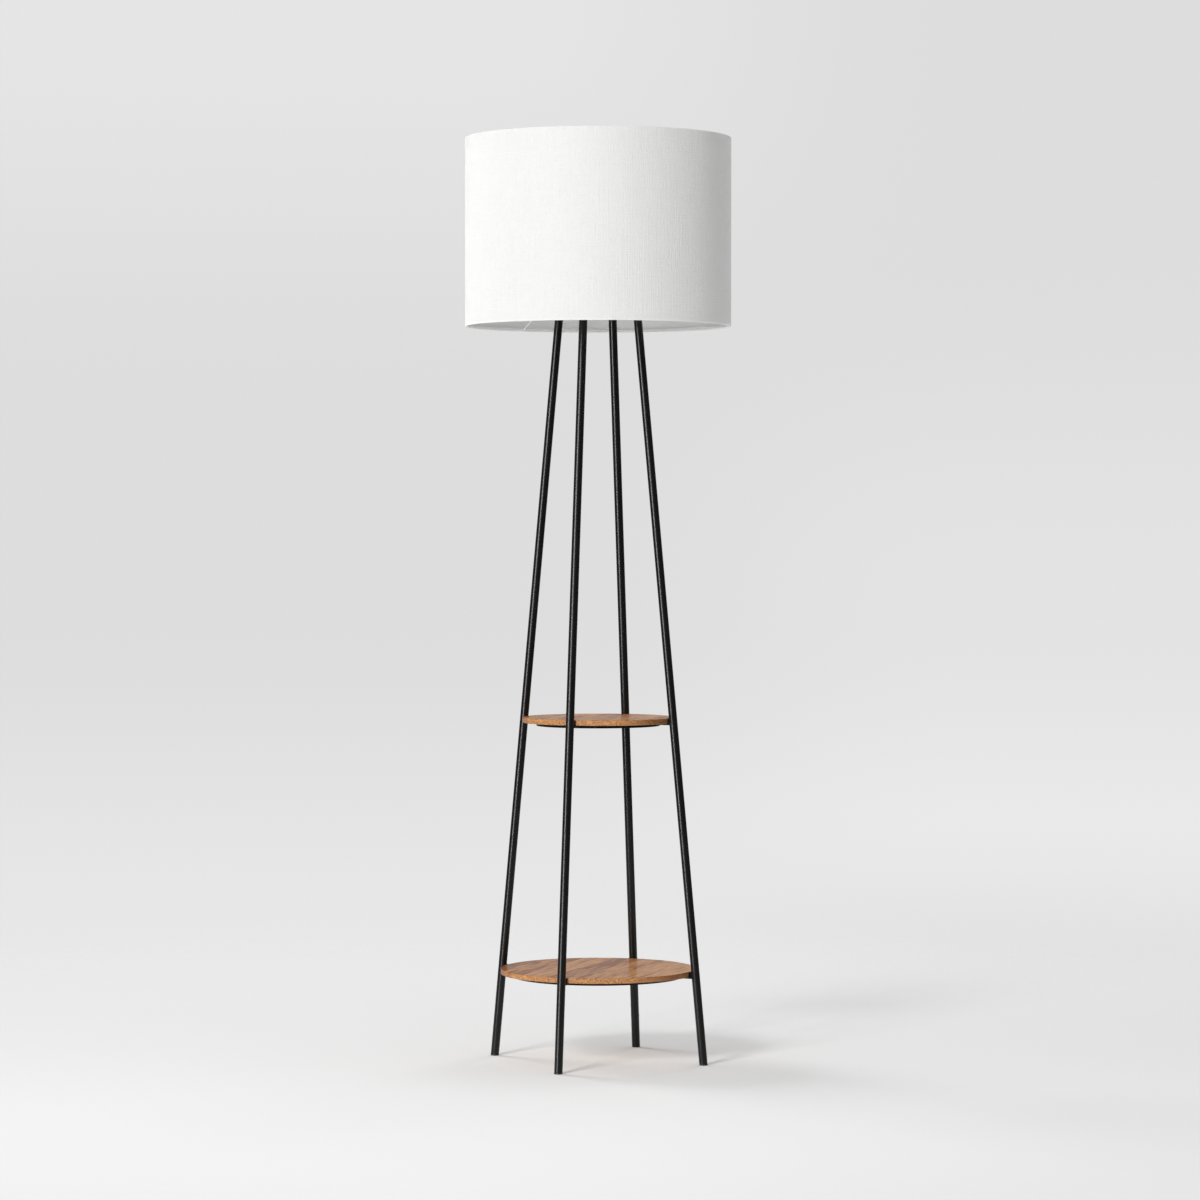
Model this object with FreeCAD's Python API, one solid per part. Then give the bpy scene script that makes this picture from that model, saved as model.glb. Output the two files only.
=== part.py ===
"""Floor lamp: four leaning tube legs, two round wooden shelves and a drum shade.

Millimetres. The origin is the centre of the lamp on the floor, +Z is up, and
the legs stand on the diagonals of X and Y.
"""
import FreeCAD, Part

import math
import os

from FreeCAD import Vector

os.makedirs("parts", exist_ok=True)

UP = Vector(0, 0, 1)

# ---- overall sizes -------------------------------------------------------
TOTAL_HEIGHT = 1498.6
SHADE_RADIUS = 215.9
SHADE_HEIGHT = 304.8
SHADE_BOTTOM = TOTAL_HEIGHT - SHADE_HEIGHT

# ---- gaps and screws -----------------------------------------------------
THREAD_GAP = 0.05               # between a screwed or pressed piece and its hole
RUNNING_GAP = 0.06              # between a turning piece and its bearing
LIFT_GAP = 0.3                  # under the pieces that are screwed down but turn here
M6_RADIUS = 3.0
M4_RADIUS = 2.0
FRAME_SCREW = {"head": 3.4, "hole": M4_RADIUS, "cone": 1.9, "length": 8.4, "sunk": 0.4}
WOOD_SCREW = {"head": 3.3, "hole": 1.75, "cone": 1.6, "length": 8.0, "sunk": 0.0}

# ---- legs ----------------------------------------------------------------
LEG_RADIUS = 6.75
LEG_WALL = 1.2
LEG_BORE = LEG_RADIUS - LEG_WALL
FOOT_CIRCLE = 181.4             # from the lamp's axis to a leg's axis, at the floor
LEG_TAPER = 0.09377             # how far a leg comes in for each mm that it rises
LEG_LEAN = math.atan(LEG_TAPER)
LEG_AZIMUTHS = {"front_left": 225, "front_right": 315, "back_right": 45, "back_left": 135}
GLIDE_THICKNESS = 2.5
GLIDE_STEM = 14.0
INSERT_LENGTH = 14.0

# ---- the cord's way through one leg --------------------------------------
CORD_LEG = "back_right"
CORD_EXIT_HEIGHT = 52.0
CORD_ENTRY_DROP = 26.0          # below the leg's upper end
BUSH_RADIUS = 3.9
BUSH_BORE = 3.0
BUSH_BELL = 3.4
BUSH_BELL_GAP = 0.15
BUSH_FLANGE = 4.8
BUSH_LIP = 1.2
BUSH_DEPTH = 4.0

# ---- shelves -------------------------------------------------------------
BOARD_THICKNESS = 8.7
BOARD_EDGE_ROUND = 0.8
SHELVES = {
    "upper": {"top": 559.5, "radius": 122.5, "ring": 100.4},
    "lower": {"top": 150.6, "radius": 158.6, "ring": 137.7},
}
RING_HEIGHT = 5.2
RING_WIDTH = 3.0
RING_EASE = 0.5
BRACKET_THICKNESS = 2.5
BRACKET_WIDTH = 10.0
LUG_WIDTH = 13.6
LUG_DEPTH = 2.8
NOTCH_GAP = 0.3

# ---- top plate, where the four legs meet ---------------------------------
PLATE_UNDERSIDE = 1252.0
PLATE_THICKNESS = 3.0
PLATE_FLAT_RADIUS = 45.0
PLATE_RADIUS = 76.0
PLATE_TOP = PLATE_UNDERSIDE + PLATE_THICKNESS
PLATE_HOLE_GAP = 0.2
PLATE_SCREW_HEAD = 5.5
PLATE_SCREW_DOME = 7.2          # radius of the sphere that the head is cut from
PLATE_SCREW_HEIGHT = 3.6
PLATE_SCREW_LENGTH = 13.0
PLATE_SCREW_KEY = 1.9
PLATE_SCREW_KEY_DEPTH = 2.2

# ---- lamp holder ---------------------------------------------------------
NIPPLE_RADIUS = 4.9
NIPPLE_BORE = 3.6
NIPPLE_BELOW = 8.0
NIPPLE_ABOVE = 11.0
WASHER_RADIUS = 8.5
WASHER_THICKNESS = 1.0
NUT_FLATS = 14.0
NUT_HEIGHT = 4.0
CAP_NECK = 8.5
CAP_TOP = 1277.0
SPIGOT_RADIUS = 15.8
SPIGOT_LENGTH = 6.0
SOCKET_RADIUS = 17.5
SOCKET_CHAMBER = 13.8
SOCKET_MOUTH = 14.2
SKIRT_RADIUS = 19.3
SHOULDER_RADIUS = 23.5
SHOULDER_TOP = 1305.0
SOCKET_TOP = 1323.0
FLOOR_TOP = 1297.0
FLOOR_THICKNESS = 4.0
FLOOR_HOLE = 2.0
SHELL_WALL = 0.6
SHELL_HOLE = 9.0
CONTACT_WIDTH = 5.0
CONTACT_RISE = 2.0
CONTACT_THICKNESS = 0.6

# ---- switch --------------------------------------------------------------
SWITCH_OUT = Vector(0, -1, 0)
SWITCH_CENTRE = Vector(0, 0, 1285.0)
SHAFT_RADIUS = 1.6
SHAFT_START = -2.0              # these four are along the shaft, from the lamp's axis
SHAFT_END = 28.0
KNOB_START = 19.0
KNOB_NECK = 25.0
KNOB_COLLAR = 4.4
KEY_RADIUS = 7.0
KEY_CENTRE = 32.0
KEY_SHOULDER = 28.5
KEY_ROOT = 24.0
KEY_ROOT_HALF = 4.0
KEY_THICKNESS = 4.2
CAM_RADIUS = 5.5
CAM_HALF = 6.0
CAM_FLAT = 3.6                  # from the shaft's axis to each flat

# ---- shade and its fitter ------------------------------------------------
FITTER_BORE = 19.8
FITTER_RADIUS = 25.0
FITTER_THICKNESS = 1.2
FITTER_TOP = SHOULDER_TOP + FITTER_THICKNESS
CLAMP_HEIGHT = 9.0
CLAMP_FLANGE = 24.2
CLAMP_FLANGE_HEIGHT = 2.5
CLAMP_RADIUS = 22.8
CLAMP_GRIPS = 12
CLAMP_GRIP_RADIUS = 1.4
ARM_RADIUS = 1.1
ARM_KNEE = 33.0
ARM_AZIMUTHS = (101.4, 221.4, 341.4)
WIRE_RADIUS = 1.3
LINER_THICKNESS = 0.6
CLOTH_THICKNESS = 0.5
HEM_HEIGHT = 7.5
LINER_OUTSIDE = SHADE_RADIUS - CLOTH_THICKNESS
LINER_INSIDE = LINER_OUTSIDE - LINER_THICKNESS
WIRE_CIRCLE = LINER_INSIDE - WIRE_RADIUS
WIRE_INSET = CLOTH_THICKNESS + WIRE_RADIUS

# ---- bulb ----------------------------------------------------------------
BULB_RADIUS = 30.0
BULB_TOP = 1409.5
NECK_RADIUS = 14.0
NECK_CURVE = 35.0
BASE_RADIUS = 13.2
BASE_LENGTH = 22.0
TIP_BOTTOM = FLOOR_TOP + CONTACT_RISE + CONTACT_THICKNESS + LIFT_GAP
TIP_TOP = TIP_BOTTOM + 1.2
BASE_BOTTOM = TIP_BOTTOM + 4.5
BASE_TOP = BASE_BOTTOM + BASE_LENGTH


def export(name, shape):
    """Write one sub-part; a list of solids is written as one group."""
    solids = shape if isinstance(shape, list) else [shape]
    for solid in solids:
        if not solid.isValid():
            raise ValueError(name + " isn't a valid solid")
    whole = solids[0] if len(solids) == 1 else Part.makeCompound(solids)
    whole.exportStep("parts/" + name + ".step")


def polar(radius, azimuth, z=0.0):
    """The point at a radius and an azimuth in degrees."""
    angle = math.radians(azimuth)
    return Vector(radius * math.cos(angle), radius * math.sin(angle), z)


def rod(radius, start, end):
    """A round bar from one point to another."""
    return Part.makeCylinder(radius, (end - start).Length, start, end - start)


def tube(outer, inner, bottom, top):
    """An upright tube on the lamp's axis."""
    base = Vector(0, 0, bottom)
    return Part.makeCylinder(outer, top - bottom, base).cut(Part.makeCylinder(inner, top - bottom, base))


def section(points):
    """A flat face in the XZ plane from (radius, height) corners."""
    corners = [Vector(radius, 0, height) for radius, height in points]
    return Part.Face(Part.makePolygon(corners + corners[:1]))


def turned(face):
    """The solid that a section makes when it turns round the lamp's axis."""
    return face.revolve(Vector(0, 0, 0), UP, 360)


def block(length, width, height, azimuth, inner, bottom):
    """A box that runs outwards along an azimuth, from an inner radius."""
    box = Part.makeBox(length, width, height, Vector(inner, -width / 2, bottom))
    return box.rotate(Vector(0, 0, 0), UP, azimuth)


def slab(bottom, top):
    """All the space over the floor between two heights."""
    side = 4 * FOOT_CIRCLE
    return Part.makeBox(side, side, top - bottom, Vector(-side / 2, -side / 2, bottom))


def one_solid(shape):
    """The single solid that a boolean left in its result."""
    solids = shape.Solids
    if len(solids) != 1:
        raise ValueError("expected one solid and found " + str(len(solids)))
    return solids[0]


def countersunk_screw(sizes, head, way):
    """A screw from the middle of its flat head, the given way: a cone and a plain shank."""
    cone = Part.makeCone(sizes["head"], sizes["hole"], sizes["cone"], head, way)
    shank = rod(sizes["hole"] - THREAD_GAP, head, head + way * sizes["length"])
    return one_solid(cone.fuse(shank).removeSplitter())


def countersunk_hole(sizes, head, way):
    """What a countersunk screw takes out of the piece that it holds, open over the head."""
    cone = Part.makeCone(sizes["head"], sizes["hole"], sizes["cone"], head, way)
    mouth = rod(sizes["head"], head - way * 3, head)
    return cone.fuse([mouth, rod(sizes["hole"], head, head + way * sizes["length"])])


# ---- legs ----------------------------------------------------------------
def leg_offset(z):
    """How far a leg's axis is from the lamp's axis at a height."""
    return FOOT_CIRCLE - LEG_TAPER * z


def leg_point(azimuth, z):
    """The point of a leg's axis at a height."""
    return polar(leg_offset(z), azimuth, z)


def leg_up(azimuth):
    """The unit vector up along a leg."""
    return (leg_point(azimuth, 1000) - leg_point(azimuth, 0)).normalize()


def leg_out(azimuth):
    """The unit vector square to a leg that points away from the lamp."""
    return polar(math.cos(LEG_LEAN), azimuth, math.sin(LEG_LEAN))


def seat_height():
    """The height at which a leg's axis meets the underside of the top plate's raised rim."""
    start = PLATE_UNDERSIDE + (FOOT_CIRCLE - PLATE_FLAT_RADIUS) * LEG_TAPER
    return start / (1 + LEG_TAPER ** 2)


SEAT_HEIGHT = seat_height()


def leg_cylinder(radius, azimuth, low, high):
    """A cylinder along a leg between two heights of its axis, square at both ends."""
    return rod(radius, leg_point(azimuth, low), leg_point(azimuth, high))


def screw_height(shelf):
    """The height of the screws that hold a shelf's brackets to the legs."""
    return shelf["top"] - BOARD_THICKNESS / 2


def leg_tube(azimuth, has_cord):
    """A straight leg, cut level above its glide and square under the top plate."""
    outer = leg_cylinder(LEG_RADIUS, azimuth, -20, SEAT_HEIGHT)
    inner = leg_cylinder(LEG_BORE, azimuth, -30, SEAT_HEIGHT + 10)
    leg = outer.cut(inner).cut(slab(-60, GLIDE_THICKNESS))
    out = leg_out(azimuth)
    for shelf in SHELVES.values():
        centre = leg_point(azimuth, screw_height(shelf))
        leg = leg.cut(rod(M4_RADIUS, centre, centre - out * 20))
    if has_cord:
        low = leg_point(azimuth, CORD_EXIT_HEIGHT)
        high = leg_point(azimuth, SEAT_HEIGHT - CORD_ENTRY_DROP)
        leg = leg.cut(rod(BUSH_RADIUS, low, low + out * 20))
        leg = leg.cut(rod(BUSH_RADIUS, high, high - out * 20))
    return one_solid(leg)


def foot_glide(azimuth):
    """A plastic pad under a leg, with a stem that plugs into the tube."""
    pad = leg_cylinder(LEG_RADIUS, azimuth, -20, 20).common(slab(0, GLIDE_THICKNESS))
    stem = leg_cylinder(LEG_BORE - THREAD_GAP, azimuth, -20, GLIDE_STEM)
    stem = stem.cut(slab(-60, GLIDE_THICKNESS / 2))
    return one_solid(pad.fuse(stem).removeSplitter())


def cord_bush(azimuth, height, sign):
    """A flanged bush round the cord's hole, outside (+1) or inside (-1) of a leg.

    Its bore is straight in the flange and widens towards the inside of the leg, so no edge rubs the cord.
    """
    centre = leg_point(azimuth, height)
    out = leg_out(azimuth) * sign
    body_end = centre + out * BUSH_DEPTH
    bore_end = centre + out * (LEG_RADIUS + BUSH_BELL_GAP)
    face = centre + out * (LEG_RADIUS + BUSH_LIP)
    body = rod(BUSH_RADIUS - THREAD_GAP, body_end, centre + out * LEG_RADIUS)
    flange = rod(BUSH_FLANGE, body_end, face)
    flange = flange.cut(leg_cylinder(LEG_RADIUS, azimuth, height - 30, height + 30))
    bell = Part.makeCone(BUSH_BELL, BUSH_BORE, (bore_end - body_end).Length, body_end, out)
    bore = rod(BUSH_BORE, bore_end, face + out)
    return one_solid(body.fuse(flange).cut([bell, bore]))


def top_insert(azimuth):
    """A threaded plug that is fixed in the top end of a leg."""
    up = leg_up(azimuth)
    top = leg_point(azimuth, SEAT_HEIGHT)
    plug = rod(LEG_BORE - THREAD_GAP, top - up * INSERT_LENGTH, top)
    return plug.cut(rod(M6_RADIUS, top - up * 20, top + up))


def plate_screw(azimuth):
    """A domed machine screw with a key socket, through the top plate."""
    up = leg_up(azimuth)
    seat = leg_point(azimuth, SEAT_HEIGHT) + up * (PLATE_THICKNESS + 2 * THREAD_GAP)
    shank = rod(M6_RADIUS - THREAD_GAP, seat - up * PLATE_SCREW_LENGTH, seat)
    sphere = Part.makeSphere(PLATE_SCREW_DOME, seat + up * (PLATE_SCREW_HEIGHT - PLATE_SCREW_DOME))
    dome = sphere.common(rod(PLATE_SCREW_HEAD, seat, seat + up * 5))
    socket = rod(PLATE_SCREW_KEY, seat + up * (PLATE_SCREW_HEIGHT - PLATE_SCREW_KEY_DEPTH), seat + up * 5)
    return one_solid(shank.fuse(dome).cut(socket))


for name, azimuth in LEG_AZIMUTHS.items():
    export("leg_" + name, leg_tube(azimuth, name == CORD_LEG))
    export("foot_glide_" + name, foot_glide(azimuth))
export("leg_top_inserts", [top_insert(azimuth) for azimuth in LEG_AZIMUTHS.values()])
export("top_plate_screws", [plate_screw(azimuth) for azimuth in LEG_AZIMUTHS.values()])
export("cord_exit_bush", cord_bush(LEG_AZIMUTHS[CORD_LEG], CORD_EXIT_HEIGHT, 1))
export("cord_entry_bush", cord_bush(LEG_AZIMUTHS[CORD_LEG], SEAT_HEIGHT - CORD_ENTRY_DROP, -1))


# ---- shelves -------------------------------------------------------------
def lug_face(shelf):
    """The radius of the flat inner face of a shelf's lugs."""
    return leg_offset(screw_height(shelf)) - LEG_RADIUS / math.cos(LEG_LEAN) - LUG_DEPTH


def frame_screw_place(shelf, azimuth):
    """The head's middle and the way in of the screw from a lug into a leg."""
    out = leg_out(azimuth)
    sunk = LEG_RADIUS + LUG_DEPTH - FRAME_SCREW["sunk"]
    return leg_point(azimuth, screw_height(shelf)) - out * sunk, out


def wood_screw_place(shelf, azimuth):
    """The head's middle and the way in of the screw from below a tab into the board."""
    underside = shelf["top"] - BOARD_THICKNESS - BRACKET_THICKNESS
    return polar((shelf["ring"] + lug_face(shelf)) / 2, azimuth, underside), UP


def bracket(shelf, azimuth):
    """A steel angle: a tab under the board, and a lug that fits round the leg."""
    underside = shelf["top"] - BOARD_THICKNESS
    bottom = underside - BRACKET_THICKNESS
    inner = lug_face(shelf)
    reach = leg_offset(underside)
    tab = block(reach - shelf["ring"], BRACKET_WIDTH, BRACKET_THICKNESS, azimuth, shelf["ring"], bottom)
    tab = tab.cut(tube(shelf["ring"], shelf["ring"] - 5, underside - 20, underside + 5))
    lug_height = BOARD_THICKNESS + BRACKET_THICKNESS - NOTCH_GAP
    lug = block(reach - inner, LUG_WIDTH, lug_height, azimuth, inner, bottom)
    angle = tab.fuse(lug)
    angle = angle.cut(leg_cylinder(LEG_RADIUS, azimuth, underside - 60, underside + 60))
    angle = max(angle.Solids, key=lambda solid: solid.Volume)
    angle = angle.cut(countersunk_hole(WOOD_SCREW, *wood_screw_place(shelf, azimuth)))
    angle = angle.cut(countersunk_hole(FRAME_SCREW, *frame_screw_place(shelf, azimuth)))
    return one_solid(angle)


def ring(shelf):
    """A flat steel bar on edge, bent and welded into a ring under the board."""
    top = shelf["top"] - BOARD_THICKNESS
    outer = shelf["ring"]
    inner = outer - RING_WIDTH
    low = top - RING_HEIGHT
    return turned(section([(inner, low + RING_EASE), (inner + RING_EASE, low), (outer - RING_EASE, low),
                           (outer, low + RING_EASE), (outer, top), (inner, top)]))


def board(shelf):
    """A round board with eased edges and a notch for each lug."""
    top = shelf["top"]
    bottom = top - BOARD_THICKNESS
    radius = shelf["radius"]
    ease = BOARD_EDGE_ROUND
    disc = turned(section([(0, bottom), (radius - ease, bottom), (radius, bottom + ease),
                           (radius, top - ease), (radius - ease, top), (0, top)]))
    for azimuth in LEG_AZIMUTHS.values():
        notch = block(20, LUG_WIDTH + 2 * NOTCH_GAP, BOARD_THICKNESS + 2, azimuth,
                      lug_face(shelf) - NOTCH_GAP, bottom - 1)
        screw = countersunk_screw(WOOD_SCREW, *wood_screw_place(shelf, azimuth))
        disc = disc.cut(notch).cut(screw)
    return one_solid(disc)


for name, shelf in SHELVES.items():
    azimuths = LEG_AZIMUTHS.values()
    export(name + "_shelf_board", board(shelf))
    export(name + "_shelf_ring", ring(shelf))
    export(name + "_shelf_brackets", [bracket(shelf, azimuth) for azimuth in azimuths])
    export(name + "_shelf_frame_screws",
           [countersunk_screw(FRAME_SCREW, *frame_screw_place(shelf, azimuth)) for azimuth in azimuths])
    export(name + "_shelf_wood_screws",
           [countersunk_screw(WOOD_SCREW, *wood_screw_place(shelf, azimuth)) for azimuth in azimuths])


# ---- top plate and nipple ------------------------------------------------
def top_plate():
    """A dished steel disc: its rim rises so that it is square to the four leaning legs."""
    rim = PLATE_UNDERSIDE + (PLATE_RADIUS - PLATE_FLAT_RADIUS) * LEG_TAPER
    rim_top = rim + PLATE_THICKNESS / math.cos(LEG_LEAN)
    knee = PLATE_FLAT_RADIUS - PLATE_THICKNESS * math.tan(LEG_LEAN / 2)
    hole = NIPPLE_RADIUS + PLATE_HOLE_GAP
    plate = turned(section([(hole, PLATE_UNDERSIDE), (PLATE_FLAT_RADIUS, PLATE_UNDERSIDE), (PLATE_RADIUS, rim),
                            (PLATE_RADIUS, rim_top), (knee, PLATE_TOP), (hole, PLATE_TOP)]))
    for azimuth in LEG_AZIMUTHS.values():
        seat = leg_point(azimuth, SEAT_HEIGHT)
        up = leg_up(azimuth)
        plate = plate.cut(rod(M6_RADIUS + PLATE_HOLE_GAP, seat - up * 5, seat + up * 9))
    return one_solid(plate)


def hexagon_nut(bottom, top, across_flats, bore):
    """A plain hexagon nut on the lamp's axis."""
    corner = across_flats / math.sqrt(3)
    corners = [polar(corner, 60 * step, bottom) for step in range(6)]
    prism = Part.Face(Part.makePolygon(corners + corners[:1])).extrude(Vector(0, 0, top - bottom))
    return prism.cut(Part.makeCylinder(bore, top - bottom, Vector(0, 0, bottom)))


NUT_TOP = PLATE_UNDERSIDE - WASHER_THICKNESS
NIPPLE_HOLE = NIPPLE_RADIUS + THREAD_GAP
export("top_plate", top_plate())
export("threaded_nipple",
       tube(NIPPLE_RADIUS, NIPPLE_BORE, PLATE_UNDERSIDE - NIPPLE_BELOW, PLATE_TOP + NIPPLE_ABOVE))
export("nipple_washer", tube(WASHER_RADIUS, NIPPLE_HOLE, NUT_TOP, PLATE_UNDERSIDE))
export("nipple_nut", hexagon_nut(NUT_TOP - NUT_HEIGHT, NUT_TOP, NUT_FLATS, NIPPLE_HOLE))


# ---- lamp holder ---------------------------------------------------------
def socket_cap():
    """The lower shell, screwed on the nipple, that flares to the holder's width."""
    spigot = SPIGOT_RADIUS + THREAD_GAP
    return turned(section([
        (NIPPLE_HOLE, PLATE_TOP), (CAP_NECK, PLATE_TOP), (CAP_NECK, 1260.0), (12.5, 1262.5),
        (SOCKET_RADIUS, 1268.0), (SOCKET_RADIUS, CAP_TOP), (spigot, CAP_TOP),
        (spigot, 1268.8), (11.6, 1264.2), (NIPPLE_HOLE, 1263.2)]))


def socket_body():
    """The moulded holder: switch chamber, floor, shoulder and threaded skirt."""
    foot = CAP_TOP - SPIGOT_LENGTH
    ceiling = FLOOR_TOP - FLOOR_THICKNESS
    body = turned(section([
        (SOCKET_CHAMBER, foot), (SPIGOT_RADIUS, foot), (SPIGOT_RADIUS, CAP_TOP), (SOCKET_RADIUS, CAP_TOP),
        (SOCKET_RADIUS, SHOULDER_TOP - 5.5), (SHOULDER_RADIUS, SHOULDER_TOP - 2.5),
        (SHOULDER_RADIUS, SHOULDER_TOP), (SKIRT_RADIUS, SHOULDER_TOP), (SKIRT_RADIUS, SOCKET_TOP - 1),
        (SKIRT_RADIUS - 1, SOCKET_TOP), (SOCKET_MOUTH, SOCKET_TOP), (SOCKET_MOUTH, FLOOR_TOP),
        (FLOOR_HOLE, FLOOR_TOP), (FLOOR_HOLE, ceiling), (SOCKET_CHAMBER, ceiling)]))
    hole = rod(SHAFT_RADIUS + RUNNING_GAP, SWITCH_CENTRE, SWITCH_CENTRE + SWITCH_OUT * 30)
    return one_solid(body.cut(hole))


def screw_shell():
    """The thin brass cup that the bulb's base screws into."""
    outer = SOCKET_MOUTH - THREAD_GAP
    inner = outer - SHELL_WALL
    return turned(section([(SHELL_HOLE, FLOOR_TOP), (outer, FLOOR_TOP), (outer, SOCKET_TOP - 4),
                           (inner, SOCKET_TOP - 4), (inner, FLOOR_TOP + SHELL_WALL),
                           (SHELL_HOLE, FLOOR_TOP + SHELL_WALL)]))


def centre_contact():
    """A bent brass tongue on the holder's floor, under the bulb's tip."""
    rise = FLOOR_TOP + CONTACT_RISE
    strip = section([(-6.5, FLOOR_TOP), (-3.0, FLOOR_TOP), (1.0, rise), (4.0, rise),
                     (4.0, rise + CONTACT_THICKNESS), (0.8, rise + CONTACT_THICKNESS),
                     (-3.2, FLOOR_TOP + CONTACT_THICKNESS), (-6.5, FLOOR_TOP + CONTACT_THICKNESS)])
    return strip.extrude(Vector(0, CONTACT_WIDTH, 0)).translate(Vector(0, -CONTACT_WIDTH / 2, 0))


def along_switch(distance):
    """A point of the switch shaft's axis."""
    return SWITCH_CENTRE + SWITCH_OUT * distance


def switch_cam():
    """The moulded drum on the shaft, with two flats, that opens and closes the contacts."""
    drum = rod(CAM_RADIUS, along_switch(-CAM_HALF), along_switch(CAM_HALF))
    core = Part.makeBox(20, 20, 2 * CAM_FLAT, SWITCH_CENTRE - Vector(10, 10, CAM_FLAT))
    middle = Part.makeBox(20, 8, 20, SWITCH_CENTRE - Vector(10, 4, 10))
    drum = drum.cut(middle.cut(core))
    return one_solid(drum.cut(rod(SHAFT_RADIUS, along_switch(SHAFT_START), along_switch(CAM_HALF + 1))))


def switch_knob():
    """The turn key: a round collar, and a flat key that widens from it to a round end."""
    collar = rod(KNOB_COLLAR, along_switch(KNOB_START), along_switch(KNOB_NECK))
    low = SWITCH_CENTRE.z - KEY_THICKNESS / 2
    left = [Vector(-KEY_ROOT_HALF, -KEY_ROOT, low), Vector(-KEY_RADIUS, -KEY_SHOULDER, low),
            Vector(-KEY_RADIUS, -KEY_CENTRE, low)]
    right = [Vector(-corner.x, corner.y, corner.z) for corner in reversed(left)]
    end = Part.Arc(left[-1], Vector(0, -KEY_CENTRE - KEY_RADIUS, low), right[0]).toShape()
    sides = Part.makePolygon(right + left)
    key = Part.Face(Part.Wire([end] + sides.Edges)).extrude(Vector(0, 0, KEY_THICKNESS))
    bore = rod(SHAFT_RADIUS, along_switch(KNOB_START - 1), along_switch(SHAFT_END))
    return one_solid(collar.fuse(key).cut(bore))


export("socket_cap", socket_cap())
export("socket_body", socket_body())
export("socket_screw_shell", screw_shell())
export("socket_centre_contact", centre_contact())
export("switch_shaft", rod(SHAFT_RADIUS, along_switch(SHAFT_START), along_switch(SHAFT_END)))
export("switch_cam", switch_cam())
export("switch_knob", switch_knob())


# ---- shade ---------------------------------------------------------------
def clamp_ring():
    """The moulded ring that screws down over the skirt and holds the shade."""
    bottom = FITTER_TOP + LIFT_GAP
    flange_top = bottom + CLAMP_FLANGE_HEIGHT
    wall_foot = flange_top + 0.7
    top = bottom + CLAMP_HEIGHT
    bore = SKIRT_RADIUS + RUNNING_GAP
    clamp = turned(section([(bore, bottom), (CLAMP_FLANGE, bottom), (CLAMP_FLANGE, flange_top),
                            (CLAMP_RADIUS, wall_foot), (CLAMP_RADIUS, top - 1), (CLAMP_RADIUS - 1, top),
                            (bore, top)]))
    for step in range(CLAMP_GRIPS):
        foot = polar(CLAMP_RADIUS + CLAMP_GRIP_RADIUS / 2, 360 * step / CLAMP_GRIPS, wall_foot)
        clamp = clamp.cut(rod(CLAMP_GRIP_RADIUS, foot, foot + UP * CLAMP_HEIGHT))
    return one_solid(clamp)


def arm(azimuth, radius):
    """A wire from the fitter ring, level at first and then down to the shade's lower ring."""
    level = SHOULDER_TOP + FITTER_THICKNESS / 2
    start = polar(FITTER_RADIUS - 0.2, azimuth, level)
    knee = polar(ARM_KNEE, azimuth, level)
    end = polar(WIRE_CIRCLE, azimuth, SHADE_BOTTOM + WIRE_INSET)
    return rod(radius, start, knee).fuse([Part.makeSphere(radius, knee), rod(radius, knee, end)])


def shade_wire(z):
    """A steel wire ring just inside the liner, drawn with eight flats so that its facets stay few."""
    corner = WIRE_RADIUS / math.cos(math.pi / 8)
    angles = [math.pi / 8 + math.pi / 4 * step for step in range(8)]
    return turned(section([(WIRE_CIRCLE + corner * math.cos(a), z + corner * math.sin(a)) for a in angles]))


def hem(edge, sign):
    """The section of the cloth turned in over a wire: edge is the rim's height, sign points into the shade."""
    flat = math.tan(math.pi / 8)
    face = WIRE_CIRCLE - WIRE_RADIUS
    wrap = WIRE_RADIUS + CLOTH_THICKNESS
    glued = LINER_INSIDE - CLOTH_THICKNESS
    knee = WIRE_INSET + WIRE_RADIUS
    bond = knee + LINER_INSIDE - face
    outline = [(SHADE_RADIUS, HEM_HEIGHT), (SHADE_RADIUS, CLOTH_THICKNESS / 2), (LINER_OUTSIDE, 0),
               (WIRE_CIRCLE - wrap * flat, 0), (face - CLOTH_THICKNESS, WIRE_INSET - wrap * flat),
               (face - CLOTH_THICKNESS, knee), (glued, bond), (glued, HEM_HEIGHT), (LINER_INSIDE, HEM_HEIGHT),
               (LINER_INSIDE, bond), (face, knee), (face, WIRE_INSET - WIRE_RADIUS * flat),
               (WIRE_CIRCLE - WIRE_RADIUS * flat, CLOTH_THICKNESS), (LINER_OUTSIDE, CLOTH_THICKNESS),
               (LINER_OUTSIDE, HEM_HEIGHT)]
    return section([(radius, edge + sign * height) for radius, height in outline])


def shade_cover():
    """The cloth: a plain cylinder whose edges turn in over the wires."""
    low = SHADE_BOTTOM + HEM_HEIGHT
    high = TOTAL_HEIGHT - HEM_HEIGHT
    cover = tube(SHADE_RADIUS, LINER_OUTSIDE, low, high)
    cover = cover.fuse([turned(hem(SHADE_BOTTOM, 1)), turned(hem(TOTAL_HEIGHT, -1))]).removeSplitter()
    return one_solid(cover.cut([arm(azimuth, ARM_RADIUS + THREAD_GAP) for azimuth in ARM_AZIMUTHS]))


fitter_ring = tube(FITTER_RADIUS, FITTER_BORE, SHOULDER_TOP, FITTER_TOP)
lower_wire = shade_wire(SHADE_BOTTOM + WIRE_INSET)
arms = [one_solid(arm(azimuth, ARM_RADIUS).cut([fitter_ring, lower_wire])) for azimuth in ARM_AZIMUTHS]
liner = tube(LINER_OUTSIDE, LINER_INSIDE, SHADE_BOTTOM + CLOTH_THICKNESS, TOTAL_HEIGHT - CLOTH_THICKNESS)
export("shade_clamp_ring", clamp_ring())
export("shade_fitter_ring", fitter_ring)
export("shade_fitter_arms", arms)
export("shade_lower_wire", lower_wire)
export("shade_upper_wire", shade_wire(TOTAL_HEIGHT - WIRE_INSET))
export("shade_liner", liner)
export("shade_cover", shade_cover())


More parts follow.
